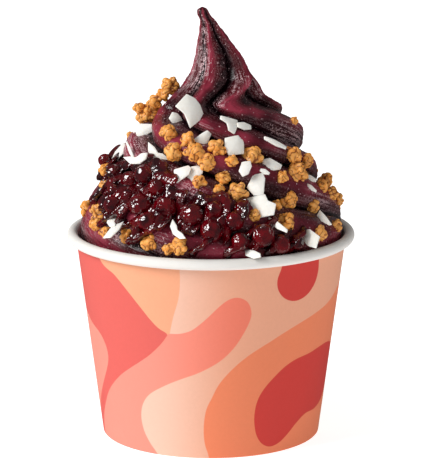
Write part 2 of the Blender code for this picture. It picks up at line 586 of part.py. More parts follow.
def one_body(data):
    """Keeps the mesh's largest shell, which drops loose scraps and fills sealed hollows."""
    mesh = bmesh.new()
    mesh.from_mesh(data)
    bmesh.ops.triangulate(mesh, faces=mesh.faces)
    waiting = set(mesh.faces)
    shells = []
    while waiting:
        reached = [waiting.pop()]
        for face in reached:
            near = {other for edge in face.edges for other in edge.link_faces} & waiting
            waiting -= near
            reached.extend(near)
        shells.append(reached)
    shells.sort(key=len)
    spare = [face for shell in shells[:-1] for face in shell]
    bmesh.ops.delete(mesh, geom=spare, context="FACES")
    mesh.to_mesh(data)
    mesh.free()
    return data


def joined(target, meshes, operation, name):
    """Applies one Boolean of the target with a collection of shapes, then removes those shapes."""
    shapes = bpy.data.collections.new(name)
    bpy.context.scene.collection.children.link(shapes)
    for number, mesh in enumerate(meshes):
        bmesh.ops.recalc_face_normals(mesh, faces=mesh.faces)
        data = bpy.data.meshes.new(f"{name}_{number:03d}")
        mesh.to_mesh(data)
        mesh.free()
        shapes.objects.link(bpy.data.objects.new(data.name, data))
    boolean = target.modifiers.new(name, "BOOLEAN")
    boolean.operation = operation
    boolean.operand_type = "COLLECTION"
    boolean.collection = shapes
    boolean.solver = "MANIFOLD"
    bpy.context.view_layer.update()
    graph = bpy.context.evaluated_depsgraph_get()
    result = bpy.data.meshes.new_from_object(target.evaluated_get(graph))
    target.modifiers.clear()
    target.data = one_body(result)
    for shape in list(shapes.objects):
        bpy.data.objects.remove(shape)
    bpy.data.collections.remove(shapes)


def build_acai():
    """The swirl with its berries beside it, and the small toppings fused to it."""
    mesh = swirl_skin(SWIRL_STEPS, SWIRL_ROWS)
    bmesh.ops.recalc_face_normals(mesh, faces=mesh.faces)
    tree = BVHTree.FromBMesh(mesh)
    berries = berry_places(tree)
    acai = piece("acai", mesh, material("acai"), 60.0)
    build_berries(berries)
    hollows = (ball(c, r + GAP, 2, turn=n) for n, (c, r) in enumerate(berries, 1))
    joined(acai, hollows, "DIFFERENCE", "hollows")
    joined(acai, topping_meshes(tree, berries), "UNION", "toppings")


def main():
    clear_scene()
    build_cup_wall()
    build_cup_base()
    build_acai()


main()
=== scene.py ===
"""A paper cup of acai soft serve, with berries in syrup, granola clusters and coconut flakes.

The file is laid out as an add-on and run as a script.  The packed solids are the frame, in metres
with +Z up and the front towards -Y.  Each visible piece is made here, at its real size, where its
solid lies.
"""

import functools
import math
import random

import bmesh
import bpy
import numpy as np
from bpy.props import FloatProperty, FloatVectorProperty, IntProperty, PointerProperty
from mathutils import Matrix, Vector, noise
from mathutils.bvhtree import BVHTree


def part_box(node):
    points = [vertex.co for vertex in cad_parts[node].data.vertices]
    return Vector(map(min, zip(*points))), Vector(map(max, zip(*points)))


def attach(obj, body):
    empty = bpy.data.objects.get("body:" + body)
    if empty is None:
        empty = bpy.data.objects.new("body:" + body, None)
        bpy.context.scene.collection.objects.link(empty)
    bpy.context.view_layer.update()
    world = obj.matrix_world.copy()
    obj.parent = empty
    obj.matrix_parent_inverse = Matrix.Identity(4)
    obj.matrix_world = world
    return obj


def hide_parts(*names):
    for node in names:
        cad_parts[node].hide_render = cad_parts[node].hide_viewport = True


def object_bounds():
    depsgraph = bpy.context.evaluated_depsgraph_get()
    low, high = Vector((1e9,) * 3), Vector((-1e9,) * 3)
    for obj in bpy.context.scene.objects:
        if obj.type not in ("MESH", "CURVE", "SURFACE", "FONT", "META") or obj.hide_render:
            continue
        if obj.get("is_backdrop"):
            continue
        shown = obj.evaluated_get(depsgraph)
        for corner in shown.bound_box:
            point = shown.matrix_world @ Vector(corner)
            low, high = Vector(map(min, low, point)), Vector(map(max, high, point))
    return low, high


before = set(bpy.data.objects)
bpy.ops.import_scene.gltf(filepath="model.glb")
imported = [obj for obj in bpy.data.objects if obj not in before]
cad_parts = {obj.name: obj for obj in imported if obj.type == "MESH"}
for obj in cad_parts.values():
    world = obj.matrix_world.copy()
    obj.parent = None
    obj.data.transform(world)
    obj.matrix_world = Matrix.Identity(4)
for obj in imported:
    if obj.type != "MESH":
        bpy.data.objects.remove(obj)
CAD_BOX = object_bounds()

bl_info = {
    "name": "Cup of acai soft serve",
    "version": (1, 0, 0),
    "blender": (4, 5, 0),
    "location": "3D View > Sidebar > Acai cup",
    "description": "A printed paper cup of acai soft serve with its toppings, on a plain stage",
    "category": "Object",
}

MM = 0.001
CORNER_DIGITS = 7  # decimals of a metre to which a spun corner is rounded
CUP_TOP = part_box("cup_wall")[1]
GAP = 0.35 * MM  # clearance between neighbouring pieces

# ---- the cup ----
WALL_COLUMNS = 288
WALL_ROWS = 62
CURL_START, CURL_END = math.radians(180), math.radians(-112)
CURL_OUTER_STEPS, CURL_INNER_STEPS = 26, 16
FOLD_STEPS = 3
SEAM_AZIMUTH = 90.0  # where the blank's edge laps over itself, at the back
SEAM_STEP = 0.3 * MM
SEAM_FADE = 14.0  # degrees over which the lapped paper comes back to the wall's own radius
SEAM_COLUMN_GAP = 0.12  # degrees between the two columns of the cut edge

# ---- the print on the wall ----
# Each field of colour is a closed smooth outline: degrees right of the front, and height in mm.
# A point that is named twice makes a corner.  The fields are laid on in this order, over cream.
PEACH_FIELDS = (
    ((-60, 82), (-64, 60), (-50, 42), (-30, 34), (-21, 36), (-18.5, 43.5), (-16.5, 49.5), (-14, 55.5),
     (-13, 61), (-13, 68), (-14, 82)),
    ((150, 82), (144, 66), (150, 50), (166, 40), (184, 44), (194, 56), (197, 68), (198, 82)),
    ((84, -10), (82, 2), (88, 10), (100, 13), (112, 9), (116, -2), (114, -10)),
)
LIGHT_CORAL_FIELDS = (
    ((-19, 43.6), (-19, 43.6), (-14, 43.8), (-9, 45), (-5, 47.2), (-1, 50), (4, 53.8), (8, 56), (12, 56.4),
     (16, 54.6), (17.8, 51), (17, 47.6), (14, 43), (10, 38.6), (4, 34.4), (-5, 30.6), (-15, 27.6),
     (-23, 24.8), (-31, 21.2), (-35.5, 17), (-37, 12.4), (-36, 8), (-33, 4), (-28, -1), (-26, -10),
     (-84, -10), (-78, 2), (-66, 14), (-59, 19.6), (-49, 25.5), (-41, 29.4), (-35, 32.2), (-29, 35.4),
     (-23, 39.6)),
    ((-78, 42), (-71, 40.6), (-62.5, 38.4), (-58, 34.8), (-57.2, 30.5), (-60.5, 25.8), (-67.5, 19.6),
     (-77, 12), (-88, 5), (-102, 4), (-116, 12), (-121, 25), (-112, 37), (-96, 43)),
    ((128, -10), (121, 4), (126, 16), (140, 22), (156, 20), (170, 24), (182, 34), (196, 36), (204, 28),
     (203, 16), (194, 4), (190, -10)),
)
CORAL_FIELDS = (
    ((-54.5, 66), (-45, 61.3), (-38, 56.4), (-32, 51.6), (-27, 47.4), (-23, 44.8), (-19, 43.6), (-19, 43.6),
     (-23, 39.6), (-29, 35.4), (-35, 32.2), (-41, 29.4), (-49, 25.5), (-59, 19.6), (-66, 14), (-76, 4),
     (-82, -10), (-96, -10), (-84, 5), (-77, 12), (-67.5, 19.6), (-60.5, 25.8), (-57.2, 30.5), (-58, 34.8),
     (-62.5, 38.4), (-71, 40.6), (-84, 43.6), (-104, 46), (-120, 53), (-128, 66), (-128, 82), (-62, 82)),
    ((126, 82), (124, 66), (130, 52), (142, 40), (150, 32), (166, 33), (164, 40), (152, 49), (144, 62),
     (144, 82)),
)
ORANGE_FIELDS = (
    ((-1, -10), (-1, 0), (-3, 5), (-3.6, 10.5), (-2.4, 17), (0.6, 21.8), (4, 26.6), (10, 31.6), (16, 35.3),
     (22, 38), (28, 40.2), (35, 42.6), (44, 44.9), (54, 46.8), (66, 49), (80, 53), (94, 55.5), (108, 50),
     (114, 38), (108, 25), (94, 16), (80, 8), (74, -10)),
    ((-160, 82), (-164, 66), (-156, 53), (-144, 50), (-136, 58), (-134, 70), (-136, 82)),
)
RED_FIELDS = (
    ((31, 82), (31.4, 70), (30.6, 65.4), (29, 61.4), (29.8, 57.8), (33, 54.8), (37.6, 53.2), (42.4, 53.2),
     (47.4, 54.8), (51, 58), (52.2, 62), (51.6, 67), (50, 82)),
    ((72, 33.8), (62, 33.9), (53, 33), (43.6, 32.2), (37, 30.4), (32, 27.8), (27, 24.4), (23.6, 20.8),
     (22, 16.5), (22, 12), (23.6, 7.4), (27, 4.1), (32, 2.6), (37.6, 3.4), (43, 5.8), (49, 9), (56, 11.2),
     (66, 11.4), (76, 13.5), (84, 19), (85, 27), (80, 32)),
    ((-158, 10), (-162, 20), (-156, 31), (-145, 34), (-136, 28), (-134, 17), (-140, 8), (-150, 5)),
)
INKS = {
    "peach": PEACH_FIELDS,
    "light_coral": LIGHT_CORAL_FIELDS,
    "coral": CORAL_FIELDS,
    "orange": ORANGE_FIELDS,
    "red": RED_FIELDS,
}
OUTLINE_STEPS = 6  # points of a field's outline between two of its named points
FIELD_EDGE = 0.09  # half the width over which one ink meets the next, mm
# The cream and light coral fields turn deeper towards +X between these places across the cup, mm.
BLEND_FROM = (-20.0, 12.0)

# ---- the swirl, in millimetres and degrees ----
# Height above the table and radius of the ribs' crests.
PROFILE = (
    (66.0, 43.6), (69.5, 44.1), (71.8, 44.9), (74.0, 44.8), (76.5, 43.8), (80.0, 42.0), (84.0, 39.9),
    (88.0, 37.6), (92.0, 35.5), (96.0, 33.5), (100.0, 31.0), (104.0, 28.4), (107.0, 25.6), (110.0, 22.0),
    (113.0, 18.6), (116.5, 15.9), (120.5, 13.2), (124.5, 10.4), (128.5, 8.4), (132.5, 6.4), (136.5, 4.5),
    (140.0, 3.0), (141.5, 2.4), (142.7, 2.3), (143.9, 1.9), (144.7, 1.2), (145.2, 0.0),
)
# Height and azimuth of the crease at the front, between the two ribs that face the eye.
WINDING = (
    (66.0, 502.0), (70.0, 483.0), (75.0, 460.0), (80.0, 436.0), (85.0, 414.0), (90.0, 395.0), (93.0, 381.0),
    (96.0, 363.0), (100.5, 335.0), (103.2, 319.0), (106.2, 302.0), (108.4, 287.0), (111.0, 272.0),
    (113.4, 265.0), (115.2, 268.0), (117.4, 277.0), (120.0, 285.0), (124.0, 288.0), (130.0, 285.0),
    (135.0, 281.0), (141.0, 294.0), (145.2, 304.0),
)
# Height and how far the swirl's middle stands to +X: the tip hooks over to -X.
LEAN = (
    (66.0, 0.0), (72.0, 0.2), (95.0, 0.2), (102.0, 1.1), (108.0, 1.9), (114.0, 1.2), (119.0, 1.3),
    (126.0, 2.3), (130.0, 2.1), (134.0, 1.1), (138.0, -0.1), (140.6, -1.1), (142.7, -2.4), (145.2, -2.9),
)
# Height and depth of the creases between the ribs.
CREASE_DEPTH = (
    (66.0, 0.0), (70.0, 0.7), (75.0, 2.8), (84.0, 4.7), (96.0, 5.2), (106.0, 5.8), (111.0, 6.8),
    (115.0, 7.2), (119.0, 6.2), (125.0, 4.6), (131.0, 3.2), (137.0, 1.7), (141.0, 0.6), (143.0, 0.1),
    (145.2, 0.0),
)
# Height and where a rib's crest lies across it: 0 is its lower edge and 1 its upper.
CREST_PLACE = ((66.0, 0.6), (106.0, 0.6), (114.0, 0.52), (120.0, 0.5), (145.2, 0.5))
# The two ribs that face the eye have crests of their own in the peak.
RIGHT_CREST = (
    (66.0, 0.6), (104.0, 0.6), (109.5, 0.42), (113.5, 0.18), (115.5, 0.26), (118.0, 0.46), (122.0, 0.62),
    (145.2, 0.7),
)
LEFT_CREST = (
    (66.0, 0.6), (106.0, 0.6), (114.0, 0.5), (120.0, 0.26), (124.0, 0.16), (128.0, 0.22), (137.0, 0.45),
    (145.2, 0.5),
)
# Height and how full the ribs are: 1 gives flat flanks and wide creases, more gives tight creases.
RIB_FULLNESS = ((66.0, 2.8), (106.0, 2.5), (114.0, 1.9), (122.0, 1.3), (145.2, 1.3))
RIB_EDGE = 0.28  # how much of a rib's cross-section is a plain ridge with an edge along its crest
RIBS = 6
RIB_ANGLE = 360.0 / RIBS
RIB_CRESTS = (RIGHT_CREST, CREST_PLACE, CREST_PLACE, CREST_PLACE, CREST_PLACE, LEFT_CREST)
# Height and each crease's own turn in degrees.
CREASE_SHIFTS = (
    ((66.0, 0.0), (113.5, 0.0), (116.5, 10.0), (119.5, 18.0), (126.0, 17.0), (137.0, 12.0), (145.2, 0.0)),
    ((66.0, 8.0), (145.2, 8.0)),
    ((66.0, 4.0), (106.0, 4.0), (111.0, -20.0), (118.0, -26.0), (125.0, -10.0), (145.2, 4.0)),
    ((66.0, 6.0), (145.2, 6.0)),
    ((66.0, 14.0), (145.2, 14.0)),
    ((66.0, 12.0), (145.2, 12.0)),
)
PEAK_CREASES = (1.05, 0.85, 0.9, 1.0, 0.9, 0.45)  # each crease's share of the depth, in the peak
RIB_SWELLS = (0.3, -0.6, 0.3, -0.3, 0.5, -0.1)  # each crest's own swelling, mm
FULL_DEPTH = 3.0  # a crease this deep is fully grown
PEAK_ABOVE, PEAK_BLEND = 118.0, 2.0  # the peak starts at this height, over so many mm
FOLD_TILT, FOLD_HEIGHT, FOLD_REACH = 3.0, 113.0, 14.0  # the peak's base is tipped, higher at +X
FOLD_AZIMUTH = 330.0
UNEVENNESS, UNEVEN_SIZE = 0.5, 11.0  # hand-dispensed waviness and its spacing, mm
WAVE_SEED = 3  # picks the waves, so that they are the same each time
SLENDER = 12.0  # under this radius, the waviness dies away
# Patches on the side that faces the eye: across, up, radius, and how much.  Here frost lies thickest, and it
# is partly a painted sheen where the light catches the faces.
FROST_AND_PAINTED_SHEEN_PATCHES = (
    (-2.7, 140.7, 1.0, 0.5), (-2.2, 137.3, 1.2, 0.7), (-2.0, 133.8, 1.3, 0.8), (-1.8, 130.4, 1.5, 0.9),
    (-2.0, 127.6, 1.6, 1.0), (-2.3, 125.2, 1.6, 1.0), (-2.8, 122.8, 1.5, 1.0), (-4.2, 120.4, 1.5, 0.9),
    (-5.5, 118.4, 1.4, 0.8), (-7.0, 116.3, 1.2, 0.6), (2.7, 112.9, 2.2, 0.9), (3.9, 114.9, 1.8, 0.8),
    (10.1, 121.5, 2.3, 0.5), (8.4, 117.3, 2.2, 0.5), (14.2, 119.6, 2.6, 0.5), (16.0, 116.6, 2.2, 0.5),
    (27.0, 102.0, 8.0, 0.35), (-27.0, 98.5, 5.0, 0.7), (-21.0, 92.0, 5.5, 0.9), (-14.0, 88.5, 5.0, 0.8),
    (-6.0, 83.0, 5.0, 0.5), (-39.0, 72.0, 6.0, 0.3), (-30.0, 68.0, 5.0, 0.3), (-22.0, 66.0, 6.0, 0.2),
    (38.0, 82.0, 6.0, 0.3),
)
# And here shade is painted into the pulp, darkest where its faces lie in shadow.
PAINTED_SHADE_PATCHES = (
    (0.8, 139.6, 1.2, 0.6), (2.0, 135.0, 1.6, 0.9), (3.6, 130.6, 2.4, 1.0), (4.6, 126.6, 2.8, 1.0),
    (5.0, 122.4, 2.8, 1.0), (3.4, 118.4, 3.2, 1.0), (0.6, 114.6, 3.6, 1.0), (-0.6, 111.0, 3.2, 1.0),
    (6.6, 135.0, 3.0, 0.5), (10.2, 127.0, 2.6, 0.35), (-6.4, 128.0, 1.6, 0.5), (-8.6, 122.4, 2.4, 0.8),
    (-11.6, 118.0, 3.0, 0.9), (-13.8, 112.6, 3.4, 0.9), (-14.0, 107.0, 3.0, 0.8), (12.0, 113.6, 2.4, 1.0),
    (13.4, 123.6, 2.2, 0.5), (17.6, 112.8, 3.4, 0.8), (19.0, 106.4, 4.5, 0.9), (24.0, 104.4, 5.5, 0.8),
    (29.5, 100.5, 5.5, 0.8), (13.0, 107.0, 3.6, 0.8), (6.0, 103.0, 3.6, 0.5), (16.0, 99.5, 4.5, 0.6),
    (25.5, 95.5, 5.0, 0.8), (18.0, 94.6, 4.6, 0.8), (9.0, 89.0, 6.0, 0.8), (28.0, 84.0, 6.0, 0.6),
    (38.0, 79.0, 7.0, 0.6), (20.0, 83.0, 7.0, 0.8), (3.0, 80.0, 7.0, 0.7), (33.0, 71.0, 7.0, 0.6),
    (-6.5, 79.0, 6.0, 0.6), (22.0, 72.0, 7.0, 0.8), (8.0, 76.0, 6.0, 0.8), (38.0, 70.0, 5.0, 0.7),
    (-8.0, 104.0, 3.0, 0.5), (-30.0, 63.0, 8.0, 0.4), (-12.0, 60.0, 10.0, 0.5), (9.7, 105.3, 3.0, 0.6),
    (1.4, 106.3, 3.2, 0.6), (-12.0, 121.0, 2.6, 0.8), (-15.5, 116.0, 2.8, 0.8),
)
EVEN_FROST = 0.1  # how much frost there is elsewhere
PATCH_EDGE = 1.3  # a patch fades from the share of its radius that is 1 under this to this share
UNWOUND = 34.0  # the streaks are laid out on a tube of this radius, mm
ALONG = 0.28  # and squeezed to this share along it, which draws them out
FACE_LOBES = (0.04, 0.4, 0.72, 0.95)  # frost grows from the first lobe to the second, and goes by the last
SWIRL_FOOT, SWIRL_TIP = PROFILE[0][0], PROFILE[-1][0]
ROW_CROWDING = 1.2  # over 1, the rows lie closer together towards the tip
ACAI_FLOOR = 7.3 * MM  # the acai's underside, on the cup's base

# ---- toppings, in millimetres ----
# Each is placed as seen from VIEWPOINT: across and up, in the upright plane through the cup's axis.
VIEWPOINT = Vector((0.7, -1000.0, 294.0))
# across, up, diameter
GRANOLA = (
    (-14.2, 102.1, 6.2), (-7.8, 100.0, 5.4), (-12.2, 95.9, 6.6), (-5.5, 95.6, 6.8), (1.9, 97.0, 6.4),
    (-1.5, 92.0, 6.2), (13.6, 94.2, 7.2), (6.9, 92.7, 4.6), (27.1, 94.8, 6.2), (31.4, 92.8, 5.8),
    (28.8, 88.4, 7.4), (24.0, 87.2, 4.4), (4.6, 87.2, 5.6), (3.0, 82.8, 4.2), (-3.6, 85.4, 5.0),
    (9.6, 81.9, 6.4), (22.1, 77.4, 4.4), (26.3, 79.0, 6.2), (37.2, 84.3, 4.8), (40.4, 81.8, 4.8),
    (34.5, 77.2, 5.2), (26.4, 70.6, 6.4), (37.4, 66.1, 6.6), (42.4, 70.4, 4.8), (15.8, 71.4, 4.4),
    (-35.2, 89.6, 4.6), (-34.6, 86.2, 3.8), (-40.1, 78.2, 4.4), (-42.4, 75.1, 3.6), (-38.0, 75.5, 5.4),
    (-37.7, 71.0, 6.4), (-35.3, 67.9, 4.6), (-27.9, 66.5, 5.8), (-20.5, 64.1, 6.0), (-14.1, 61.7, 4.8),
    (-10.1, 63.0, 5.8), (38.4, 86.0, 5.4), (43.0, 79.6, 4.4), (27.6, 106.6, 3.0),
)
# These are stacked up beside the swirl's left shoulder, in that upright plane.
PILE = (
    (-20.6, 109.4, 7.2), (-18.6, 112.9, 5.8), (-16.0, 115.6, 4.8), (-13.6, 118.6, 6.8),
    (-24.0, 111.0, 4.6), (-23.2, 107.8, 4.6),
)
# Outlines of the coconut flakes, long way along x, as shares of the length and width.
SLAB = (
    (-0.5, 0.25), (-0.2, 0.5), (0.1, 0.5), (0.35, 0.4),
    (0.5, 0.05), (0.5, -0.5), (0.05, -0.4), (-0.35, -0.5),
)
CHUNK = ((-0.5, 0.15), (-0.25, 0.5), (0.15, 0.5), (0.45, 0.4), (0.5, 0.0), (0.1, -0.5), (-0.35, -0.45))
HALF_MOON = ((-0.5, 0.45), (0.0, 0.5), (0.5, 0.4), (0.4, 0.05), (0.15, -0.2), (-0.05, -0.5), (-0.3, -0.35))
CRESCENT = (
    (-0.5, 0.45), (-0.2, 0.45), (0.05, 0.2), (0.25, 0.5),
    (0.5, 0.45), (0.4, -0.15), (0.1, -0.5), (-0.25, -0.35),
)
FAN = (
    (-0.5, 0.45), (0.0, 0.5), (0.35, 0.5), (0.5, 0.15),
    (0.5, -0.5), (0.15, -0.4), (-0.1, 0.0), (-0.45, 0.2),
)
TILE = ((-0.45, 0.5), (0.5, 0.5), (0.5, -0.1), (0.35, -0.5), (-0.4, -0.5), (-0.5, -0.05))
WEDGE = ((-0.4, 0.5), (0.35, 0.5), (0.5, 0.25), (0.3, -0.2), (-0.1, -0.4), (-0.45, -0.5), (-0.5, -0.15))
PETAL = ((-0.45, 0.5), (0.25, 0.5), (0.5, 0.0), (0.4, -0.45), (0.1, -0.5), (-0.3, -0.25), (-0.5, 0.05))
PLANK = ((-0.5, 0.05), (-0.2, 0.5), (0.1, 0.3), (0.35, 0.2), (0.5, -0.35), (0.25, -0.5), (-0.5, -0.5))
STAR = (
    (-0.5, -0.35), (-0.3, 0.15), (-0.1, 0.5), (0.1, 0.4), (0.4, 0.5),
    (0.5, 0.05), (0.25, -0.5), (-0.1, -0.45), (-0.4, -0.5),
)
SHARD = ((-0.5, 0.3), (-0.1, 0.5), (0.5, 0.2), (0.5, -0.5), (0.05, -0.5), (-0.4, -0.15))
BLADE = ((-0.5, 0.45), (-0.15, 0.35), (0.15, 0.5), (0.5, -0.05), (0.3, -0.45), (0.0, -0.5), (-0.3, -0.15))
SLIVER = ((-0.5, 0.1), (-0.1, 0.5), (0.45, 0.5), (0.5, 0.0), (0.1, -0.5), (-0.4, -0.45))
# across, up, length, width, the long way's angle above level, outline
FLAKES = (
    (-6.9, 110.9, 10.1, 6.8, -56.0, SLAB), (-11.8, 107.4, 4.8, 3.4, -52.0, CHUNK),
    (-22.1, 103.4, 8.8, 5.0, 0.0, HALF_MOON), (-25.9, 106.8, 4.4, 2.8, 18.0, CHUNK),
    (-1.9, 101.0, 7.5, 3.9, 34.0, HALF_MOON), (-18.6, 95.6, 8.9, 3.1, -40.0, CRESCENT),
    (-25.7, 90.9, 8.5, 3.3, 10.0, CRESCENT), (5.9, 105.6, 6.5, 4.5, -20.0, FAN),
    (11.1, 104.9, 4.8, 2.2, -22.0, SLIVER), (8.1, 98.4, 6.3, 6.1, 10.0, TILE),
    (21.5, 99.3, 8.3, 1.6, -30.0, SLIVER), (-9.3, 88.7, 6.2, 4.3, 18.0, WEDGE),
    (-5.2, 88.8, 6.0, 4.4, 72.0, PETAL), (11.5, 90.4, 4.9, 4.2, 100.0, SHARD),
    (20.4, 91.5, 6.6, 3.8, -24.0, CHUNK), (18.0, 89.4, 3.4, 1.8, -38.0, SLIVER),
    (15.0, 85.4, 8.0, 5.6, 86.0, PLANK), (16.5, 78.2, 11.0, 7.0, -40.0, STAR),
    (21.5, 69.5, 7.6, 2.0, -40.0, SLIVER), (31.6, 65.9, 6.2, 5.4, -16.0, SHARD),
    (37.8, 73.0, 6.6, 2.6, -50.0, HALF_MOON), (33.5, 87.1, 4.2, 1.8, -36.0, SLIVER),
    (33.8, 83.8, 4.4, 1.3, -44.0, SLIVER), (-32.3, 71.3, 11.6, 3.0, 57.0, BLADE),
    (-33.3, 73.2, 5.2, 2.8, 80.0, CHUNK), (-31.4, 97.6, 7.4, 2.4, 48.0, SLIVER),
    (-27.1, 96.6, 7.3, 1.1, -70.0, SLIVER), (13.1, 61.6, 5.3, 2.5, -16.0, CHUNK),
    (-11.2, 69.5, 7.5, 2.7, -58.0, CRESCENT),
)
# The back has fewer, set out by a rule: how many, and their spread in azimuth and height.
BACK_GRANOLA, BACK_FLAKES = 12, 8
BACK_AZIMUTHS, BACK_HEIGHTS = (24.0, 160.0), (74.0, 108.0)
BACK_SEED = 7
BACK_SHAKE = (6.0, 2.0)  # how far such a place is shaken, in degrees round the swirl and mm up it
BACK_CROWDING = 1.2  # over 1, the back's toppings lie closer together towards the foot
BACK_CLUSTERS = (4.4, 7.0)  # sizes of the clusters at the back, mm
BACK_CHIPS = (5.0, 9.5)  # lengths of the flakes at the back, mm
BACK_SWEEP = 60.0  # the most degrees by which a flake at the back lies off level
BACK_OUTLINES = ((CHUNK, 0.8), (CRESCENT, 0.42), (SLIVER, 0.25))  # with each one's width over its length
FLAKE_LIFT = 0.9  # how far a flake's middle stands off the swirl, mm
FLAKE_TIP = 8.0  # the most degrees by which a flake tips
FACE_THE_EYE = 0.8  # how far a flake turns from the skin towards the viewpoint
MOST_SLOPE = 0.5  # skin that faces the eye less than this lifts a flake no further along the sight
FLAKE_STAND = 0.55  # the share of a turned flake's dip into the skin that lifting it takes back
FLAKE_SHAKE = 0.04  # how far each corner of a flake's outline is shaken, as a share of its size
FLAKE_SMOOTHING = 0.12  # how much the outline is rounded
FLAKE_RINGS, RING_WIDTH = 3, 0.12  # rings of faces inside a flake's edge, and each one's share of its width
FLAKE_EDGE = 0.14  # how far its edges are rounded off, mm
FLAKE_CURLS = (0.5, 1.3)  # the least and most of the set curl that a flake has
FLAKE_TWIST = 0.12
RIPPLE, RIPPLE_SIZE = 0.12, 2.0  # depth and spacing of a flake's unevenness, mm
SETTLING_TRIES = 8  # how often a topping is shifted out of the cup and the berries
CLEARING_TRIES = 12  # how often a cluster is moved away from the berries before it is left out
SHIFT_THAT_COUNTS = 0.01  # a shorter shift leaves a topping where it is, mm
CLUSTER_REACH = 1.15  # a granola cluster's reach over its half size
GRANOLA_LIFT = 0.12  # the share of a cluster's size by which its middle stands off the skin
PROUD = 0.3  # the further share by which a cluster past the swirl's outline stands off it
CLUSTER_SWELL = 1.08  # clusters are drawn this much larger than their sizes, before they are fused
CORE, LUMP_SIZES = 0.32, (0.19, 0.29)  # radii of a cluster's core and lumps, as shares of its size
LUMP_REACH = (0.92, 1.1)  # how far out a lump reaches, as a share of the cluster's radius
LUMP_SHAKE = 0.4  # how far round a lump is shaken, in radians
LUMP_STRETCH = ((1.0, 1.15), (0.9, 1.0), (0.8, 0.95))
MOST_UNBAKED = 0.5
FOLD_WIDTH, FOLD_SHADE = 0.13, 0.3  # width of the granola's folds over their spacing, and how much painted shade darkens them

# ---- berries and syrup, in millimetres ----
DIMPLE_DEPTH, DIMPLE_WIDTH = 0.1, 0.25  # over a berry's radius, and in radians
WRINKLE_FREQUENCY = 1.6
SYRUP_SEED = 3
DROP_SIZES = (2.1, 3.4)  # radii of the drops that run together into the syrup
DROP_FLATNESS = 0.3
DROP_STRETCH = (1.0, 1.5)
SYRUP_END = -38.0  # the syrup stops here on the left
SYRUP_SMOOTHING = 8

# ---- the stage ----
# The lens looks down at the cup from a metre away, as the photograph's does.
CAMERA_PLACE = Vector((0.0007, -1.0, 0.2941))
CAMERA_DOWN = math.radians(12.737)
SENSOR = 36.0
LENS = 234.13
KEY_LEFT = math.radians(66.0)  # how far round to the left of the lens the light stands
KEY_HEIGHT = math.radians(34.0)
MIRRORED_SKY = 0.25  # wet surfaces mirror a room that is this much dimmer than the light it gives


def linear(hex_colour):
    """An sRGB hex colour as linear red, green, blue and alpha."""
    channels = [int(hex_colour[i : i + 2], 16) / 255 for i in (1, 3, 5)]
    return (*(c / 12.92 if c <= 0.04045 else ((c + 0.055) / 1.055) ** 2.4 for c in channels), 1.0)


def length(name, description, metres):
    """A length that a user may change."""
    return FloatProperty(
        name=name, description=description, default=metres, min=0.0, unit="LENGTH", precision=4
    )


def colour(name, description, hex_colour):
    """A colour that a user may change."""
    return FloatVectorProperty(
        name=name,
        description=description,
        default=linear(hex_colour),
        size=4,
        min=0.0,
        max=1.0,
        subtype="COLOR",
    )


def number(name, description, value):
    """A plain number that a user may change."""
    return FloatProperty(name=name, description=description, default=value, min=0.0)


def whole_number(name, description, value, least):
    """A whole number that a user may change."""
    return IntProperty(name=name, description=description, default=value, min=least)


class AcaiCupSizes(bpy.types.PropertyGroup):
    """Sizes of the paper cup."""

    rim_radius: length("Rim radius", "Outer radius of the rolled rim", CUP_TOP.x)
    height: length("Height", "Height of the cup over its rolled rim", CUP_TOP.z)
    foot_radius: length("Foot radius", "Outer radius of the wall at the foot", 36.7 * MM)
    wall_top_radius: length("Wall top radius", "Outer radius of the wall under the rim", 45.6 * MM)
    curl_radius: length("Curl radius", "Radius of the roll of paper at the rim", 1.8 * MM)
    paper: length("Paper", "Thickness of the paper", 0.6 * MM)
    hem_height: length("Hem height", "Height of the hem that grips the base", 6.0 * MM)


class AcaiCupColours(bpy.types.PropertyGroup):
    """Colours of the cup's paper and inks."""

    paper: colour("Paper", "Bare coated paper of the rim, inside and base", "#e4e1dc")
    cream: colour("Cream", "Ink under the other fields, where it is palest", "#e4b9a4")
    deep_cream: colour("Deeper cream", "Ink under the other fields, where it is deepest", "#e5a385")
    peach: colour("Peach", "Ink of the peach fields", "#e6a07c")
    light_coral: colour("Light coral", "Ink of the light coral arms, where they are palest", "#eb8b7a")
    deep_light_coral: colour("Deeper light coral", "Ink of those arms, where they are deepest", "#e87a62")
    coral: colour("Coral", "Ink of the coral bands", "#d55e56")
    orange: colour("Orange", "Ink of the orange arches", "#e7825b")
    red: colour("Red", "Ink of the red fields", "#cc3b34")


class AcaiSwirlSettings(bpy.types.PropertyGroup):
    """Fineness and colours of the swirl."""

    steps: whole_number("Steps", "Columns round the swirl, a multiple of 60", 420, 60)
    rows: whole_number("Rows", "Rows up the swirl", 225, 31)
    relief: length("Relief", "Depth of the lumps in the frozen surface", 0.2 * MM)
    relief_size: length("Relief size", "Spacing of those lumps", 2.4 * MM)
    streaks: length("Streaks", "Depth of the streaks that the nozzle drags along the ribs", 0.15 * MM)
    streak_size: length("Streak size", "Spacing of those streaks", 2.2 * MM)
    # painted shade: the near-black laid in the creases and on the painted shade patches
    deep: colour("Deep", "Pulp in the creases", "#160308")
    pulp: colour("Pulp", "Pulp on the faces of the ribs", "#53141c")
    # lighter crimson along the crests: partly the pulp's own colour, partly a painted highlight of the lit
    # ridges
    crest: colour("Crest", "Melting pulp along the crests", "#8c2c3e")
    # partly real frost, partly the painted sheen and glints on the lit faces
    frost: colour("Frost", "Frozen grain on the faces", "#e0bcc0")


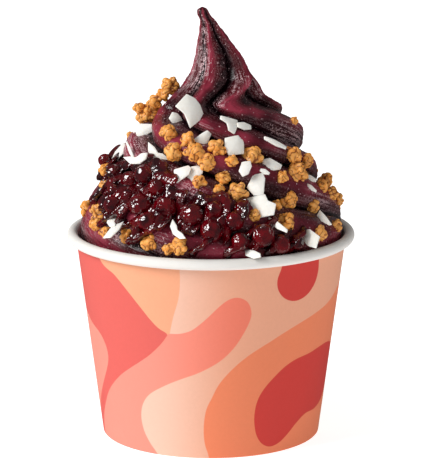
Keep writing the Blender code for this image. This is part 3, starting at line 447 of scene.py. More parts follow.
class AcaiToppingSettings(bpy.types.PropertyGroup):
    """Sizes and colours of the toppings."""

    flake_thickness: length("Flake thickness", "Thickness of a coconut flake", 0.6 * MM)
    flake_curl: number("Flake curl", "How far a flake is curled", 0.025)
    lumps: whole_number("Lumps", "Oat lumps in a granola cluster", 9, 3)
    grain: length("Granola grain", "Size of the cells that the granola is fused on", 0.28 * MM)
    folds: length("Granola folds", "Depth of the folds between the oats of a cluster", 0.25 * MM)
    fold_size: length("Granola fold size", "Spacing of those folds", 2.0 * MM)
    wrinkle: number("Wrinkle", "Depth of a berry's wrinkles over its radius", 0.07)
    syrup: length("Syrup", "Size of the cells that the syrup is fused on", 0.4 * MM)
    spread: length("Spread", "How far the syrup runs out from a berry", 3.0 * MM)
    drops: whole_number("Drops", "Drops of syrup round each berry", 18, 3)
    toasted: colour("Toasted", "Toasted tops of the granola", "#ec9636")
    pale: colour("Pale", "Pale flanks of the granola", "#eaab5e")
    # caramel: partly the syrup's colour, partly painted shade in the creases and hollows
    caramel: colour("Caramel", "Creases of the granola", "#8a4716")
    coconut: colour("Coconut", "Flesh of the coconut", "#f8f6f0")
    skin: colour("Skin", "Skin of a berry", "#260005")
    glaze: colour("Glaze", "Syrup between the berries", "#62000a")


class AcaiStageSettings(bpy.types.PropertyGroup):
    """Floor, light and camera."""

    floor: colour("Floor", "Plain pale floor", "#cfcfcf")
    floor_size: length("Floor size", "Width of the floor", 20.0)
    glow: number("Glow", "How strongly the floor is lit from below", 0.8)
    key_power: number("Key power", "Strength of the soft light at the left", 2.7)
    key_softness: number("Key softness", "Angle that the light fills, as the cup sees it", math.radians(30))
    sky: number("Sky", "Strength of the even white surroundings", 0.38)


# ---- making meshes ----


def smooth(share):
    """The smooth step from 0 to 1."""
    share = min(1.0, max(0.0, share))
    return share * share * (3 - 2 * share)


@functools.lru_cache(maxsize=None)
def smooth_value(points, at):
    """The value at a height of the smooth curve through (height, value) points."""
    last = len(points) - 1
    if at <= points[0][0]:
        return points[0][1]
    if at >= points[last][0]:
        return points[last][1]
    i = max(k for k in range(last) if points[k][0] <= at)

    def slope(k):
        low, high = points[max(k - 1, 0)], points[min(k + 1, last)]
        return (high[1] - low[1]) / (high[0] - low[0])

    (x0, y0), (x1, y1) = points[i], points[i + 1]
    span = x1 - x0
    t = (at - x0) / span
    return (
        y0 * (1 + 2 * t) * (1 - t) ** 2
        + y1 * t * t * (3 - 2 * t)
        + span * (slope(i) * t * (1 - t) ** 2 - slope(i + 1) * t * t * (1 - t))
    )


def arc(centre, radius, start, end, steps):
    """Points of an arc in the profile's plane, both ends included."""
    return [
        (
            centre[0] + radius * math.cos(start + (end - start) * k / steps),
            centre[1] + radius * math.sin(start + (end - start) * k / steps),
        )
        for k in range(steps + 1)
    ]


def in_order(mesh):
    """The same faces in a new bmesh, in an order that never changes; the first bmesh is freed."""
    loops = []
    for face in mesh.faces:
        corners = [tuple(round(c, CORNER_DIGITS) + 0.0 for c in vert.co) for vert in face.verts]
        first = corners.index(min(corners))
        loops.append(corners[first:] + corners[:first])
    mesh.free()
    made = bmesh.new()
    verts = {}
    for corners in sorted(loops):
        for corner in corners:
            if corner not in verts:
                verts[corner] = made.verts.new(corner)
        made.faces.new([verts[corner] for corner in corners])
    return made


def turned(profile, steps, closed=True):
    """A bmesh of the (radius, height) profile spun once round the Z axis."""
    mesh = bmesh.new()
    verts = [mesh.verts.new((radius, 0.0, height)) for radius, height in profile]
    ends = list(zip(verts, verts[1:])) + ([(verts[-1], verts[0])] if closed else [])
    edges = [mesh.edges.new(pair) for pair in ends]
    bmesh.ops.spin(
        mesh,
        geom=verts + edges,
        cent=(0, 0, 0),
        axis=(0, 0, 1),
        angle=2 * math.pi,
        steps=steps,
        use_merge=True,
    )
    bmesh.ops.remove_doubles(mesh, verts=mesh.verts, dist=1e-6)
    mesh = in_order(mesh)
    bmesh.ops.recalc_face_normals(mesh, faces=mesh.faces)
    return mesh


def show(name, data, finishes, stands_for=(), smooth_angle=50.0):
    """Links a finished mesh as a piece of the cup, with its materials, in place of its solids."""
    data.shade_smooth()
    data.set_sharp_from_angle(angle=math.radians(smooth_angle))
    for finish in finishes:
        data.materials.append(finish)
    made = bpy.data.objects.new(name, data)
    bpy.context.scene.collection.objects.link(made)
    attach(made, "root")
    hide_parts(*stands_for)
    return made


def mesh_data(name, mesh):
    """A bmesh as mesh data; the bmesh is freed."""
    data = bpy.data.meshes.new(name)
    mesh.to_mesh(data)
    mesh.free()
    return data


def fused(name, mesh, cell):
    """The outside of a bmesh of overlapping shapes, as one skin of cells of that size."""
    rough = bpy.data.objects.new(name, mesh_data(name, mesh))
    bpy.context.scene.collection.objects.link(rough)
    remesh = rough.modifiers.new("fuse", "REMESH")
    remesh.mode = "VOXEL"
    remesh.voxel_size = cell
    remesh.use_smooth_shade = True
    bpy.context.view_layer.update()
    graph = bpy.context.evaluated_depsgraph_get()
    data = bpy.data.meshes.new_from_object(rough.evaluated_get(graph))
    bpy.data.objects.remove(rough)
    fine = bmesh.new()
    fine.from_mesh(data)
    bpy.data.meshes.remove(data)
    return fine


def hollowness(mesh):
    """For each vertex, 1 in a crease and 0 on a bulge, from how its neighbours stand round it."""
    found = []
    for vert in mesh.verts:
        around = [edge.other_vert(vert).co for edge in vert.link_edges]
        middle = sum(around, Vector()) / len(around)
        reach = sum((co - vert.co).length for co in around) / len(around)
        found.append((middle - vert.co).dot(vert.normal) / reach)
    for _ in range(2):
        found = [
            (value + sum(found[edge.other_vert(vert).index] for edge in vert.link_edges))
            / (1 + len(vert.link_edges))
            for vert, value in zip(mesh.verts, found)
        ]
    return found


# ---- materials ----


def node(tree, kind, inputs=None, stops=(), **settings):
    """Adds a shader node.  Each input is a value or the socket that feeds it; stops are a ramp's."""
    made = tree.nodes.new(kind)
    for name, value in settings.items():
        setattr(made, name, value)
    for name, value in (inputs or {}).items():
        if isinstance(value, bpy.types.NodeSocket):
            tree.links.new(value, made.inputs[name])
        else:
            made.inputs[name].default_value = value
    if stops:
        ramp = made.color_ramp
        ramp.elements[0].position, ramp.elements[0].color = stops[0]
        ramp.elements[1].position, ramp.elements[1].color = stops[-1]
        for place, shade in stops[1:-1]:
            ramp.elements.new(place).color = shade
    return made


def new_material(name):
    """An empty material's node tree and its Principled shader, already linked to the output."""
    made = bpy.data.materials.new(name)
    made.use_nodes = True
    return made, made.node_tree, made.node_tree.nodes["Principled BSDF"]


MIX_FACTOR, MIX_A, MIX_B, MIX_RESULT = 0, 6, 7, 2  # sockets of a Mix node on colours


def mixed(tree, factor, first, second):
    """The socket of a mix of two colours."""
    inputs = {MIX_FACTOR: factor, MIX_A: first, MIX_B: second}
    return node(tree, "ShaderNodeMix", inputs, data_type="RGBA").outputs[MIX_RESULT]


def raised(tree, texture, strength, depth):
    """A bump node that a noise texture drives."""
    return node(
        tree, "ShaderNodeBump", {"Strength": strength, "Distance": depth, "Height": texture.outputs["Fac"]}
    )


def coated_paper(name, base):
    """Coated board of a paper cup: smooth and faintly glossy, with a trace of its fibres in the surface."""
    made, tree, shader = new_material(name)
    place = node(tree, "ShaderNodeTexCoord").outputs["Object"]
    fibres = node(tree, "ShaderNodeTexNoise", {"Vector": place, "Scale": 1 / (0.7 * MM), "Detail": 3.0})
    cloud = node(tree, "ShaderNodeTexNoise", {"Vector": place, "Scale": 1 / (9 * MM), "Detail": 2.0})
    gloss = node(
        tree,
        "ShaderNodeMapRange",
        {"Value": cloud.outputs["Fac"], "From Min": 0.3, "From Max": 0.7, "To Min": 0.48, "To Max": 0.58},
    )
    bump = raised(tree, fibres, 0.12, 0.05 * MM)
    tree.links.new(base(tree), shader.inputs["Base Color"])
    tree.links.new(gloss.outputs["Result"], shader.inputs["Roughness"])
    tree.links.new(bump.outputs["Normal"], shader.inputs["Normal"])
    shader.inputs["Specular IOR Level"].default_value = 0.25
    shader.inputs["Subsurface Weight"].default_value = 0.05
    shader.inputs["Subsurface Radius"].default_value = (0.6, 0.5, 0.4)
    shader.inputs["Subsurface Scale"].default_value = 1 * MM
    return made


def white_paper():
    """Bare coated paper: warm white, a little darker in its fibres' clouds."""
    colours = bpy.context.scene.acai_cup_colours

    def base(tree):
        place = node(tree, "ShaderNodeTexCoord").outputs["Object"]
        cloud = node(tree, "ShaderNodeTexNoise", {"Vector": place, "Scale": 1 / (3 * MM), "Detail": 3.0})
        shade = [c * 0.96 for c in colours.paper[:3]] + [1.0]
        return mixed(tree, cloud.outputs["Fac"], shade, list(colours.paper))

    return coated_paper("white_coated_paper", base)


def printed_paper():
    """Offset-printed coated paper: flat fields of ink with clean edges, faintly mottled."""
    colours = bpy.context.scene.acai_cup_colours

    def base(tree):
        place = node(tree, "ShaderNodeTexCoord").outputs["Object"]
        across = node(tree, "ShaderNodeSeparateXYZ", {"Vector": place}).outputs["X"]
        left, right = BLEND_FROM
        deepening = node(
            tree,
            "ShaderNodeMapRange",
            {"Value": across, "From Min": left * MM, "From Max": right * MM},
            interpolation_type="SMOOTHSTEP",
        ).outputs["Result"]
        # the cream and the light coral arms turn deeper towards +X
        ink = mixed(tree, deepening, list(colours.cream), list(colours.deep_cream))
        arms = mixed(tree, deepening, list(colours.light_coral), list(colours.deep_light_coral))
        for name in INKS:
            depth = node(tree, "ShaderNodeAttribute", attribute_name=f"{name}_depth")
            edge = node(
                tree,
                "ShaderNodeMapRange",
                {"Value": depth.outputs["Fac"], "From Min": -FIELD_EDGE, "From Max": FIELD_EDGE},
            )
            over = arms if name == "light_coral" else list(getattr(colours, name))
            ink = mixed(tree, edge.outputs["Result"], ink, over)
        mottle = node(tree, "ShaderNodeTexNoise", {"Vector": place, "Scale": 1 / (1.1 * MM), "Detail": 4.0})
        tone = node(
            tree, "ShaderNodeMapRange", {"Value": mottle.outputs["Fac"], "To Min": 0.965, "To Max": 1.035}
        )
        return node(
            tree, "ShaderNodeHueSaturation", {"Color": ink, "Value": tone.outputs["Result"]}
        ).outputs["Color"]

    return coated_paper("printed_coated_paper", base)


def acai_pulp():
    """Frozen acai pulp, pressed through a star nozzle.

    It is near-black in the creases and in patches, which is painted shade where its faces lie in shadow.  It
    is crimson and wet along the crests, the crimson partly a painted highlight of the lit ridges.  The faces
    between are dragged into dull, frosty streaks; in patches the frost is partly a painted sheen, and its
    pale specks partly painted glints.
    """
    colours = bpy.context.scene.acai_swirl_settings
    made, tree, shader = new_material("frozen_acai_pulp")
    place = node(tree, "ShaderNodeTexCoord").outputs["Object"]
    along = node(tree, "ShaderNodeAttribute", attribute_name="rib_place").outputs["Vector"]
    crest = node(tree, "ShaderNodeAttribute", attribute_name="crest").outputs["Fac"]
    face = node(tree, "ShaderNodeAttribute", attribute_name="face").outputs["Fac"]
    shade = node(tree, "ShaderNodeAttribute", attribute_name="shade").outputs["Fac"]
    drag = node(tree, "ShaderNodeTexNoise", {"Vector": along, "Scale": 1 / (1.5 * MM), "Detail": 3.0})
    grain = node(tree, "ShaderNodeTexNoise", {"Vector": place, "Scale": 1 / (0.45 * MM), "Detail": 3.0})
    ice = node(tree, "ShaderNodeTexNoise", {"Vector": place, "Scale": 1 / (0.8 * MM), "Detail": 1.0})
    cloud = node(tree, "ShaderNodeTexNoise", {"Vector": place, "Scale": 1 / (6 * MM), "Detail": 3.0})

    def ranged(value, low, high, to_low=0.0, to_high=1.0):
        limits = {"From Min": low, "From Max": high, "To Min": to_low, "To Max": to_high}
        return node(
            tree, "ShaderNodeMapRange", {"Value": value, **limits}, interpolation_type="SMOOTHSTEP"
        ).outputs["Result"]

    def combined(first, second, operation):
        return node(tree, "ShaderNodeMath", {0: first, 1: second}, operation=operation).outputs["Value"]

    # painted shade: where the lobe is low, in the creases, the pulp is darkened to the near-black deep
    # colour
    pulp = mixed(tree, ranged(crest, 0.1, 0.64), list(colours.deep), list(colours.pulp))
    # partly a painted highlight: the crests are lightened to crimson, in cloudy patches
    edge = combined(ranged(crest, 0.7, 0.97), ranged(cloud.outputs["Fac"], 0.3, 0.6, 0.4), "MULTIPLY")
    pulp = mixed(tree, edge, pulp, list(colours.crest))
    # painted shade: the painted shade patches darken the pulp further
    pulp = mixed(tree, combined(shade, 0.92, "MULTIPLY"), pulp, list(colours.deep))
    # frost and painted sheen: streaky grain wherever the face attribute lays frost on
    frost = combined(drag.outputs["Fac"], combined(grain.outputs["Fac"], 1.2, "MULTIPLY"), "ADD")
    frost = combined(ranged(frost, 1.1, 1.22), face, "MULTIPLY")
    pulp = mixed(tree, frost, pulp, list(colours.frost))
    # partly painted glints: small pale specks of ice
    pulp = mixed(tree, ranged(ice.outputs["Fac"], 0.7, 0.74, 0.0, 0.6), pulp, list(colours.frost))
    height = combined(combined(drag.outputs["Fac"], 0.3, "MULTIPLY"), grain.outputs["Fac"], "ADD")
    bump = node(tree, "ShaderNodeBump", {"Strength": 0.6, "Distance": 0.15 * MM, "Height": height})
    tree.links.new(pulp, shader.inputs["Base Color"])
    tree.links.new(ranged(cloud.outputs["Fac"], 0.35, 0.65, 0.16, 0.34), shader.inputs["Roughness"])
    tree.links.new(bump.outputs["Normal"], shader.inputs["Normal"])
    shader.inputs["IOR"].default_value = 1.38
    return made


def toasted_oats():
    """Oat clusters baked with syrup: golden and crisp, pale on their flanks, caramel in their creases.  The
    caramel is partly the syrup's colour and partly painted shade in the hollows.
    """
    colours = bpy.context.scene.acai_topping_settings
    made, tree, shader = new_material("toasted_oat_clusters")
    place = node(tree, "ShaderNodeTexCoord").outputs["Object"]
    crease = node(tree, "ShaderNodeAttribute", attribute_name="crease").outputs["Fac"]
    bake = node(tree, "ShaderNodeAttribute", attribute_name="bake").outputs["Fac"]
    bran = node(tree, "ShaderNodeTexNoise", {"Vector": place, "Scale": 1 / (1.2 * MM), "Detail": 4.0})
    patch = node(
        tree, "ShaderNodeMapRange", {"Value": bran.outputs["Fac"], "From Min": 0.35, "From Max": 0.65}
    )
    oat = mixed(tree, patch.outputs["Result"], list(colours.pale), list(colours.toasted))
    oat = mixed(tree, bake, oat, list(colours.pale))
    # partly painted shade: hollows and folds are darkened to caramel
    hollow = node(tree, "ShaderNodeMapRange", {"Value": crease, "From Min": 0.0, "From Max": 0.25})
    oat = mixed(tree, hollow.outputs["Result"], oat, list(colours.caramel))
    bump = raised(tree, bran, 0.5, 0.15 * MM)
    tree.links.new(oat, shader.inputs["Base Color"])
    tree.links.new(bump.outputs["Normal"], shader.inputs["Normal"])
    shader.inputs["Roughness"].default_value = 0.4
    shader.inputs["IOR"].default_value = 1.45
    shader.inputs["Subsurface Weight"].default_value = 0.15
    shader.inputs["Subsurface Radius"].default_value = (1.2, 0.6, 0.25)
    shader.inputs["Subsurface Scale"].default_value = 1 * MM
    return made


def coconut_flesh():
    """Shaved, dried coconut flesh: matt off-white, slightly see-through, faintly fibrous."""
    colours = bpy.context.scene.acai_topping_settings
    made, tree, shader = new_material("dried_coconut_flesh")
    place = node(tree, "ShaderNodeTexCoord").outputs["Object"]
    fibre = node(tree, "ShaderNodeTexNoise", {"Vector": place, "Scale": 1 / (0.8 * MM), "Detail": 3.0})
    shade = [c * k for c, k in zip(colours.coconut[:3], (0.9, 0.88, 0.84))] + [1.0]
    flesh = mixed(tree, fibre.outputs["Fac"], shade, list(colours.coconut))
    bump = raised(tree, fibre, 0.3, 0.1 * MM)
    tree.links.new(flesh, shader.inputs["Base Color"])
    tree.links.new(bump.outputs["Normal"], shader.inputs["Normal"])
    shader.inputs["Roughness"].default_value = 0.55
    shader.inputs["IOR"].default_value = 1.45
    shader.inputs["Subsurface Weight"].default_value = 0.4
    shader.inputs["Subsurface Radius"].default_value = (1.0, 0.9, 0.8)
    shader.inputs["Subsurface Scale"].default_value = 1 * MM
    return made


def glazed(name, base, mottled, mottle_size):
    """Fruit or juice under a wet sugar glaze: deep red, with a hard clear shine on an uneven surface."""
    made, tree, shader = new_material(name)
    place = node(tree, "ShaderNodeTexCoord").outputs["Object"]
    cloud = node(tree, "ShaderNodeTexNoise", {"Vector": place, "Scale": 1 / mottle_size, "Detail": 3.0})
    patch = node(
        tree, "ShaderNodeMapRange", {"Value": cloud.outputs["Fac"], "From Min": 0.32, "From Max": 0.6}
    )
    ripple = node(tree, "ShaderNodeTexNoise", {"Vector": place, "Scale": 1 / (1.5 * MM), "Detail": 1.5})
    bump = raised(tree, ripple, 1.0, 0.65 * MM)
    tree.links.new(mixed(tree, patch.outputs["Result"], base, mottled), shader.inputs["Base Color"])
    tree.links.new(bump.outputs["Normal"], shader.inputs["Normal"])
    tree.links.new(bump.outputs["Normal"], shader.inputs["Coat Normal"])
    shader.inputs["Roughness"].default_value = 0.3
    shader.inputs["IOR"].default_value = 1.4
    shader.inputs["Specular IOR Level"].default_value = 0.0
    shader.inputs["Coat Weight"].default_value = 1.0
    shader.inputs["Coat IOR"].default_value = 1.9
    shader.inputs["Coat Roughness"].default_value = 0.06
    return made


def glazed_skin():
    """Skin of a cooked berry under glaze: almost black, red where the light gets in."""
    colours = bpy.context.scene.acai_topping_settings
    return glazed("glazed_berry_skin", list(colours.skin), list(colours.glaze), 3.5 * MM)


def fruit_syrup():
    """Clear red fruit syrup over dark fruit."""
    colours = bpy.context.scene.acai_topping_settings
    return glazed("red_fruit_syrup", list(colours.glaze), list(colours.skin), 5.0 * MM)


def light_table():
    """Milky acrylic of a light table: dull white, and lit a little from below, which thins the shadows."""
    look = bpy.context.scene.acai_stage_settings
    made, tree, shader = new_material("milky_acrylic")
    place = node(tree, "ShaderNodeTexCoord").outputs["Object"]
    cloud = node(tree, "ShaderNodeTexNoise", {"Vector": place, "Scale": 4.0})
    shade = [c * 0.99 for c in look.floor[:3]] + [1.0]
    tree.links.new(mixed(tree, cloud.outputs["Fac"], shade, list(look.floor)), shader.inputs["Base Color"])
    shader.inputs["Roughness"].default_value = 0.9
    shader.inputs["Specular IOR Level"].default_value = 0.0
    shader.inputs["Emission Color"].default_value = linear("#ffffff")
    shader.inputs["Emission Strength"].default_value = look.glow
    return made


# ---- the cup ----


def wall_radius(cup, height):
    """Outer radius of the paper wall at a height."""
    top = cup.height - cup.curl_radius
    return cup.foot_radius + (cup.wall_top_radius - cup.foot_radius) * height / top


def under_curl(cup):
    """Height at which the wall's printed face ends, under the roll."""
    return cup.height - 2 * cup.curl_radius


def wall_profile(cup):
    """The paper's closed outline: outer face, rolled rim, inner face, and hem round the base's skirt."""
    rim = (cup.rim_radius - cup.curl_radius, cup.height - cup.curl_radius)
    outer_curl = arc(rim, cup.curl_radius, CURL_END, CURL_START, CURL_OUTER_STEPS)
    inner_curl = arc(rim, cup.curl_radius - cup.paper, math.radians(165), CURL_END, CURL_INNER_STEPS)
    slot = cup.paper + 2 * GAP  # between the wall and its hem, for the base's skirt
    hem = wall_radius(cup, 0) - cup.paper - slot
    flare = wall_radius(cup, cup.hem_height) - wall_radius(cup, 0)
    bend = cup.paper
    outer_face = [
        (wall_radius(cup, height), height)
        for height in (bend + (under_curl(cup) - bend) * k / WALL_ROWS for k in range(WALL_ROWS + 1))
    ]
    right, left = (wall_radius(cup, bend) - bend, bend), (hem - cup.paper + bend, bend)
    return [
        *arc(left, bend, math.radians(180), math.radians(270), FOLD_STEPS),
        *arc(right, bend, math.radians(-90), math.radians(0), FOLD_STEPS)[:-1],
        *outer_face,
        *inner_curl,
        *outer_curl,
        (wall_radius(cup, cup.hem_height) - cup.paper, cup.hem_height),
        (wall_radius(cup, cup.paper) - cup.paper, cup.paper),
        (hem, cup.paper),
        (hem + flare, cup.hem_height),
        (hem + flare - cup.paper, cup.hem_height),
    ]


def lap_seam(cup, mesh):
    """Raises the outer face where the blank laps over itself, with a cut edge on one side."""
    column = 360.0 / WALL_COLUMNS
    for vert in mesh.verts:
        flat = Vector((vert.co.x, vert.co.y, 0.0))
        if flat.length < wall_radius(cup, min(vert.co.z, under_curl(cup))) - 0.5 * cup.paper:
            continue
        beyond = (math.degrees(math.atan2(flat.y, flat.x)) - SEAM_AZIMUTH + 180.0) % 360.0 - 180.0
        if abs(beyond + column) < 0.1 * column:
            turn = Matrix.Rotation(math.radians(column - SEAM_COLUMN_GAP), 3, "Z")
            vert.co = turn @ vert.co
        elif -0.1 * column < beyond < SEAM_FADE:
            vert.co += flat.normalized() * SEAM_STEP * (1 - smooth(beyond / SEAM_FADE))


def field_outline(points, radius):
    """A closed smooth outline through a field's points, in mm on the unrolled wall."""
    scale = math.radians(1.0) * radius / MM
    named = [np.array((across * scale, height)) for across, height in points]
    count = len(named)
    outline = []
    for i in range(count):
        before, start, end, after = (named[(i + k) % count] for k in (-1, 0, 1, 2))
        if np.allclose(start, end):
            continue
        leave = (end - before) / 2 if not np.allclose(before, start) else end - start
        arrive = (after - start) / 2 if not np.allclose(after, end) else end - start
        for step in range(OUTLINE_STEPS):
            t = step / OUTLINE_STEPS
            outline.append(
                start * (1 + 2 * t) * (1 - t) ** 2
                + end * t * t * (3 - 2 * t)
                + leave * t * (1 - t) ** 2
                - arrive * t * t * (1 - t)
            )
    return np.array(outline)


def depth_inside(places, outline):
    """How far in mm each place on the unrolled wall lies inside an outline; it is negative outside it."""
    ends = np.roll(outline, -1, axis=0)
    along = ends - outline
    offset = places[:, None, :] - outline[None]
    share = np.clip((offset * along).sum(2) / (along**2).sum(1), 0.0, 1.0)
    distance = np.linalg.norm(offset - share[..., None] * along, axis=2).min(1)
    above = outline[:, 1] > places[:, None, 1]
    crossed = above != (ends[:, 1] > places[:, None, 1])
    slope = np.where(along[:, 1] == 0, 1.0, along[:, 1])
    reach = outline[:, 0] + offset[..., 1] * along[:, 0] / slope
    inside = (crossed & (places[:, None, 0] < reach)).sum(1) % 2 == 1
    return np.where(inside, distance, -distance)


def print_fields(cup, data):
    """Stores, for each ink, how deep every point of the wall lies in one of its fields."""
    radius = (cup.foot_radius + cup.wall_top_radius) / 2
    scale = math.radians(1.0) * radius / MM
    across = [math.degrees(math.atan2(v.co.x, -v.co.y)) * scale for v in data.vertices]
    places = np.array([across, [v.co.z / MM for v in data.vertices]]).T
    for name, fields in INKS.items():
        depth = np.full(len(places), -100.0)
        for points in fields:
            outline = field_outline(points, radius)
            for turns in (-1, 0, 1):
                moved = outline + np.array((turns * 360.0 * scale, 0.0))
                depth = np.maximum(depth, depth_inside(places, moved))
        stored = data.attributes.new(f"{name}_depth", "FLOAT", "POINT").data
        stored.foreach_set("value", depth.astype(np.float32))


def build_cup_wall():
    """The printed paper wall with its white rolled rim."""
    cup = bpy.context.scene.acai_cup_sizes
    mesh = turned(wall_profile(cup), WALL_COLUMNS)
    for face in mesh.faces:
        middle = face.calc_center_median()
        outer = middle.xy.length > wall_radius(cup, middle.z) - 0.5 * cup.paper
        face.material_index = 1 if outer and middle.z < under_curl(cup) else 0
    lap_seam(cup, mesh)
    data = mesh_data("paper_cup_wall", mesh)
    print_fields(cup, data)
    show("paper_cup_wall", data, [white_paper(), printed_paper()], ["cup_wall"], 40.0)


def build_cup_base():
    """The paper disc, with a skirt that hangs in the wall's folded hem."""
    cup = bpy.context.scene.acai_cup_sizes
    top = cup.hem_height + GAP + cup.paper
    foot = cup.paper + GAP
    outer_top = wall_radius(cup, top) - cup.paper - GAP
    outer_foot = wall_radius(cup, foot) - cup.paper - GAP
    bend = cup.paper
    corner = (outer_top - bend, top - bend)
    profile = [
        (0.0, top),
        (outer_top / 2, top),
        *arc(corner, bend, math.radians(90), math.radians(0), FOLD_STEPS),
        (outer_foot, foot),
        (outer_foot - cup.paper, foot),
        (outer_top - cup.paper, top - cup.paper),
        (outer_top / 2, top - cup.paper),
        (0.0, top - cup.paper),
    ]
    mesh = turned(profile, WALL_COLUMNS // 2, closed=False)
    data = mesh_data("paper_cup_base", mesh)
    show("paper_cup_base", data, [white_paper()], ["cup_base"], 40.0)


# ---- the swirl ----


def in_peak(height):
    """How far a height lies in the peak, from 0 below it to 1."""
    return 1 / (1 + math.exp((PEAK_ABOVE - height) / PEAK_BLEND))


def rib_shape(turn, height):
    """Which rib, where across it, and its lobe there: 0 in a crease and 1 on the crest."""
    rib = int(turn // RIB_ANGLE) % RIBS
    share = (turn % RIB_ANGLE) / RIB_ANGLE
    crest = smooth_value(RIB_CRESTS[rib], height)
    off = (crest - share) / crest if share < crest else (share - crest) / (1 - crest)
    lobe = 1 - RIB_EDGE * off - (1 - RIB_EDGE) * off ** smooth_value(RIB_FULLNESS, height)
    return rib, share, lobe


def swirl_point(turn, height):
    """A point of the swirl's skin, in mm: turn counts degrees across the ribs, height runs up them."""
    rib, share, lobe = rib_shape(turn, height)
    above = (rib + 1) % RIBS
    deepening = PEAK_CREASES[rib] * (1 - share) + PEAK_CREASES[above] * share - 1
    depth = smooth_value(CREASE_DEPTH, height) * (1 + in_peak(height) * deepening)
    grown = min(1.0, depth / FULL_DEPTH)
    shifts = [smooth_value(CREASE_SHIFTS[crease], height) for crease in (rib, above)]
    shift = shifts[0] * (1 - share) + shifts[1] * share
    azimuth = math.radians(turn + shift * grown + smooth_value(WINDING, height))
    radius = smooth_value(PROFILE, height) - depth * (1 - lobe) + RIB_SWELLS[rib] * lobe * grown
    near_fold = math.exp(-(((height - FOLD_HEIGHT) / FOLD_REACH) ** 2))
    rise = FOLD_TILT * near_fold * math.cos(azimuth - math.radians(FOLD_AZIMUTH))
    point = Vector((radius * math.cos(azimuth), radius * math.sin(azimuth), height + rise))
    waves = noise.noise_vector(point / UNEVEN_SIZE) * UNEVENNESS * min(1.0, radius / SLENDER) * grown
    return point + waves + Vector((smooth_value(LEAN, height), 0, 0))


@functools.lru_cache(maxsize=1)
def swirl_tree():
    """The swirl's skin, as something that toppings can be set on."""
    return BVHTree.FromBMesh(swirl_skin(180, 120)[0])


def swirl_skin(steps, rows):
    """A bmesh of the whole acai, spun as a plain cone whose rows are then wound into ribs.

    With it, for each vertex: its lobe, and its place across and along the ribs, in mm.
    """
    cup = bpy.context.scene.acai_cup_sizes
    shoulder = SWIRL_FOOT * MM - 2 * GAP
    profile = [(0.0, ACAI_FLOOR)]
    profile += [(wall_radius(cup, h) - cup.paper - GAP, h) for h in (ACAI_FLOOR, shoulder)]
    for k in range(rows + 1):
        left = (1 - k / rows) ** ROW_CROWDING  # the share of the way up that is still to go
        profile.append((left * shoulder, (SWIRL_TIP - left * (SWIRL_TIP - SWIRL_FOOT)) * MM))
    noise.seed_set(WAVE_SEED)
    mesh = turned(profile, steps, closed=False)
    places = []
    for vert in mesh.verts:
        across = vert.co.xy.normalized() * UNWOUND if vert.co.xy.length else Vector((0, 0))
        lobe = 0.5
        if vert.co.z > shoulder + GAP:
            turn = round(math.degrees(math.atan2(vert.co.y, vert.co.x)), 4) % 360.0
            height = round(vert.co.z / MM, 4)
            lobe = rib_shape(turn, height)[2]
            vert.co = swirl_point(turn, height) * MM
        places.append((lobe, Vector((across.x, across.y, vert.co.z / MM * ALONG))))
    return mesh, places


def patched(point, patches):
    """How much of a patch there is at a point of the swirl."""
    if point.y > 0:
        return 0.0
    # The sight through the point goes on to the upright middle plane.
    nearer = VIEWPOINT.y / (VIEWPOINT.y - point.y / MM)
    across = VIEWPOINT.x + (point.x / MM - VIEWPOINT.x) * nearer
    up = VIEWPOINT.z + (point.z / MM - VIEWPOINT.z) * nearer
    return max(
        amount * smooth(PATCH_EDGE - math.hypot(across - x, up - y) / radius)
        for x, y, radius, amount in patches
    )


def build_swirl():
    """The acai with its twisted ribs."""
    look = bpy.context.scene.acai_swirl_settings
    mesh, places = swirl_skin(look.steps, look.rows)
    bmesh.ops.recalc_face_normals(mesh, faces=mesh.faces)
    mesh.normal_update()
    crest = mesh.verts.layers.float.new("crest")
    face = mesh.verts.layers.float.new("face")
    shade = mesh.verts.layers.float.new("shade")
    rib_place = mesh.verts.layers.float_vector.new("rib_place")
    start, full, fade, end = FACE_LOBES
    for vert, (lobe, place) in zip(mesh.verts, places):
        vert[crest] = lobe
        bare = smooth((lobe - start) / (full - start)) * smooth((end - lobe) / (end - fade))
        # frost, which in the patches is partly a painted sheen
        vert[face] = min(1.0, EVEN_FROST * bare + patched(vert.co, FROST_AND_PAINTED_SHEEN_PATCHES))
        # painted shade, in patches where the faces lie in shadow
        vert[shade] = patched(vert.co, PAINTED_SHADE_PATCHES)
        vert[rib_place] = place * MM
        if vert.co.z > SWIRL_FOOT * MM:
            lump = noise.fractal(vert.co / look.relief_size, 0.9, 2.0, 3)
            streak = noise.fractal(place * MM / look.streak_size, 0.8, 2.0, 2)
            thin = min(1.0, vert.co.xy.length / (SLENDER * MM))
            vert.co += vert.normal * (look.relief * lump + look.streaks * thin * streak)
    show("acai_swirl", mesh_data("acai_swirl", mesh), [acai_pulp()], ["acai"], 70.0)


# ---- the toppings ----


def seen_place(across, up, proud=0.0):
    """Where the sight through a point of the upright middle plane meets the swirl, and the normal there.

    Past the outline it is the skin's nearest point to that one, and stands proud of it as far as allowed.
    """
    tree = swirl_tree()
    eye = VIEWPOINT * MM
    target = Vector((across, 0.0, up)) * MM
    place, normal, _, _ = tree.ray_cast(eye, (target - eye).normalized())
    if place is None:
        place, normal, _, distance = tree.find_nearest(target)
        place += (target - place).normalized() * min(distance, proud)
    return place, normal


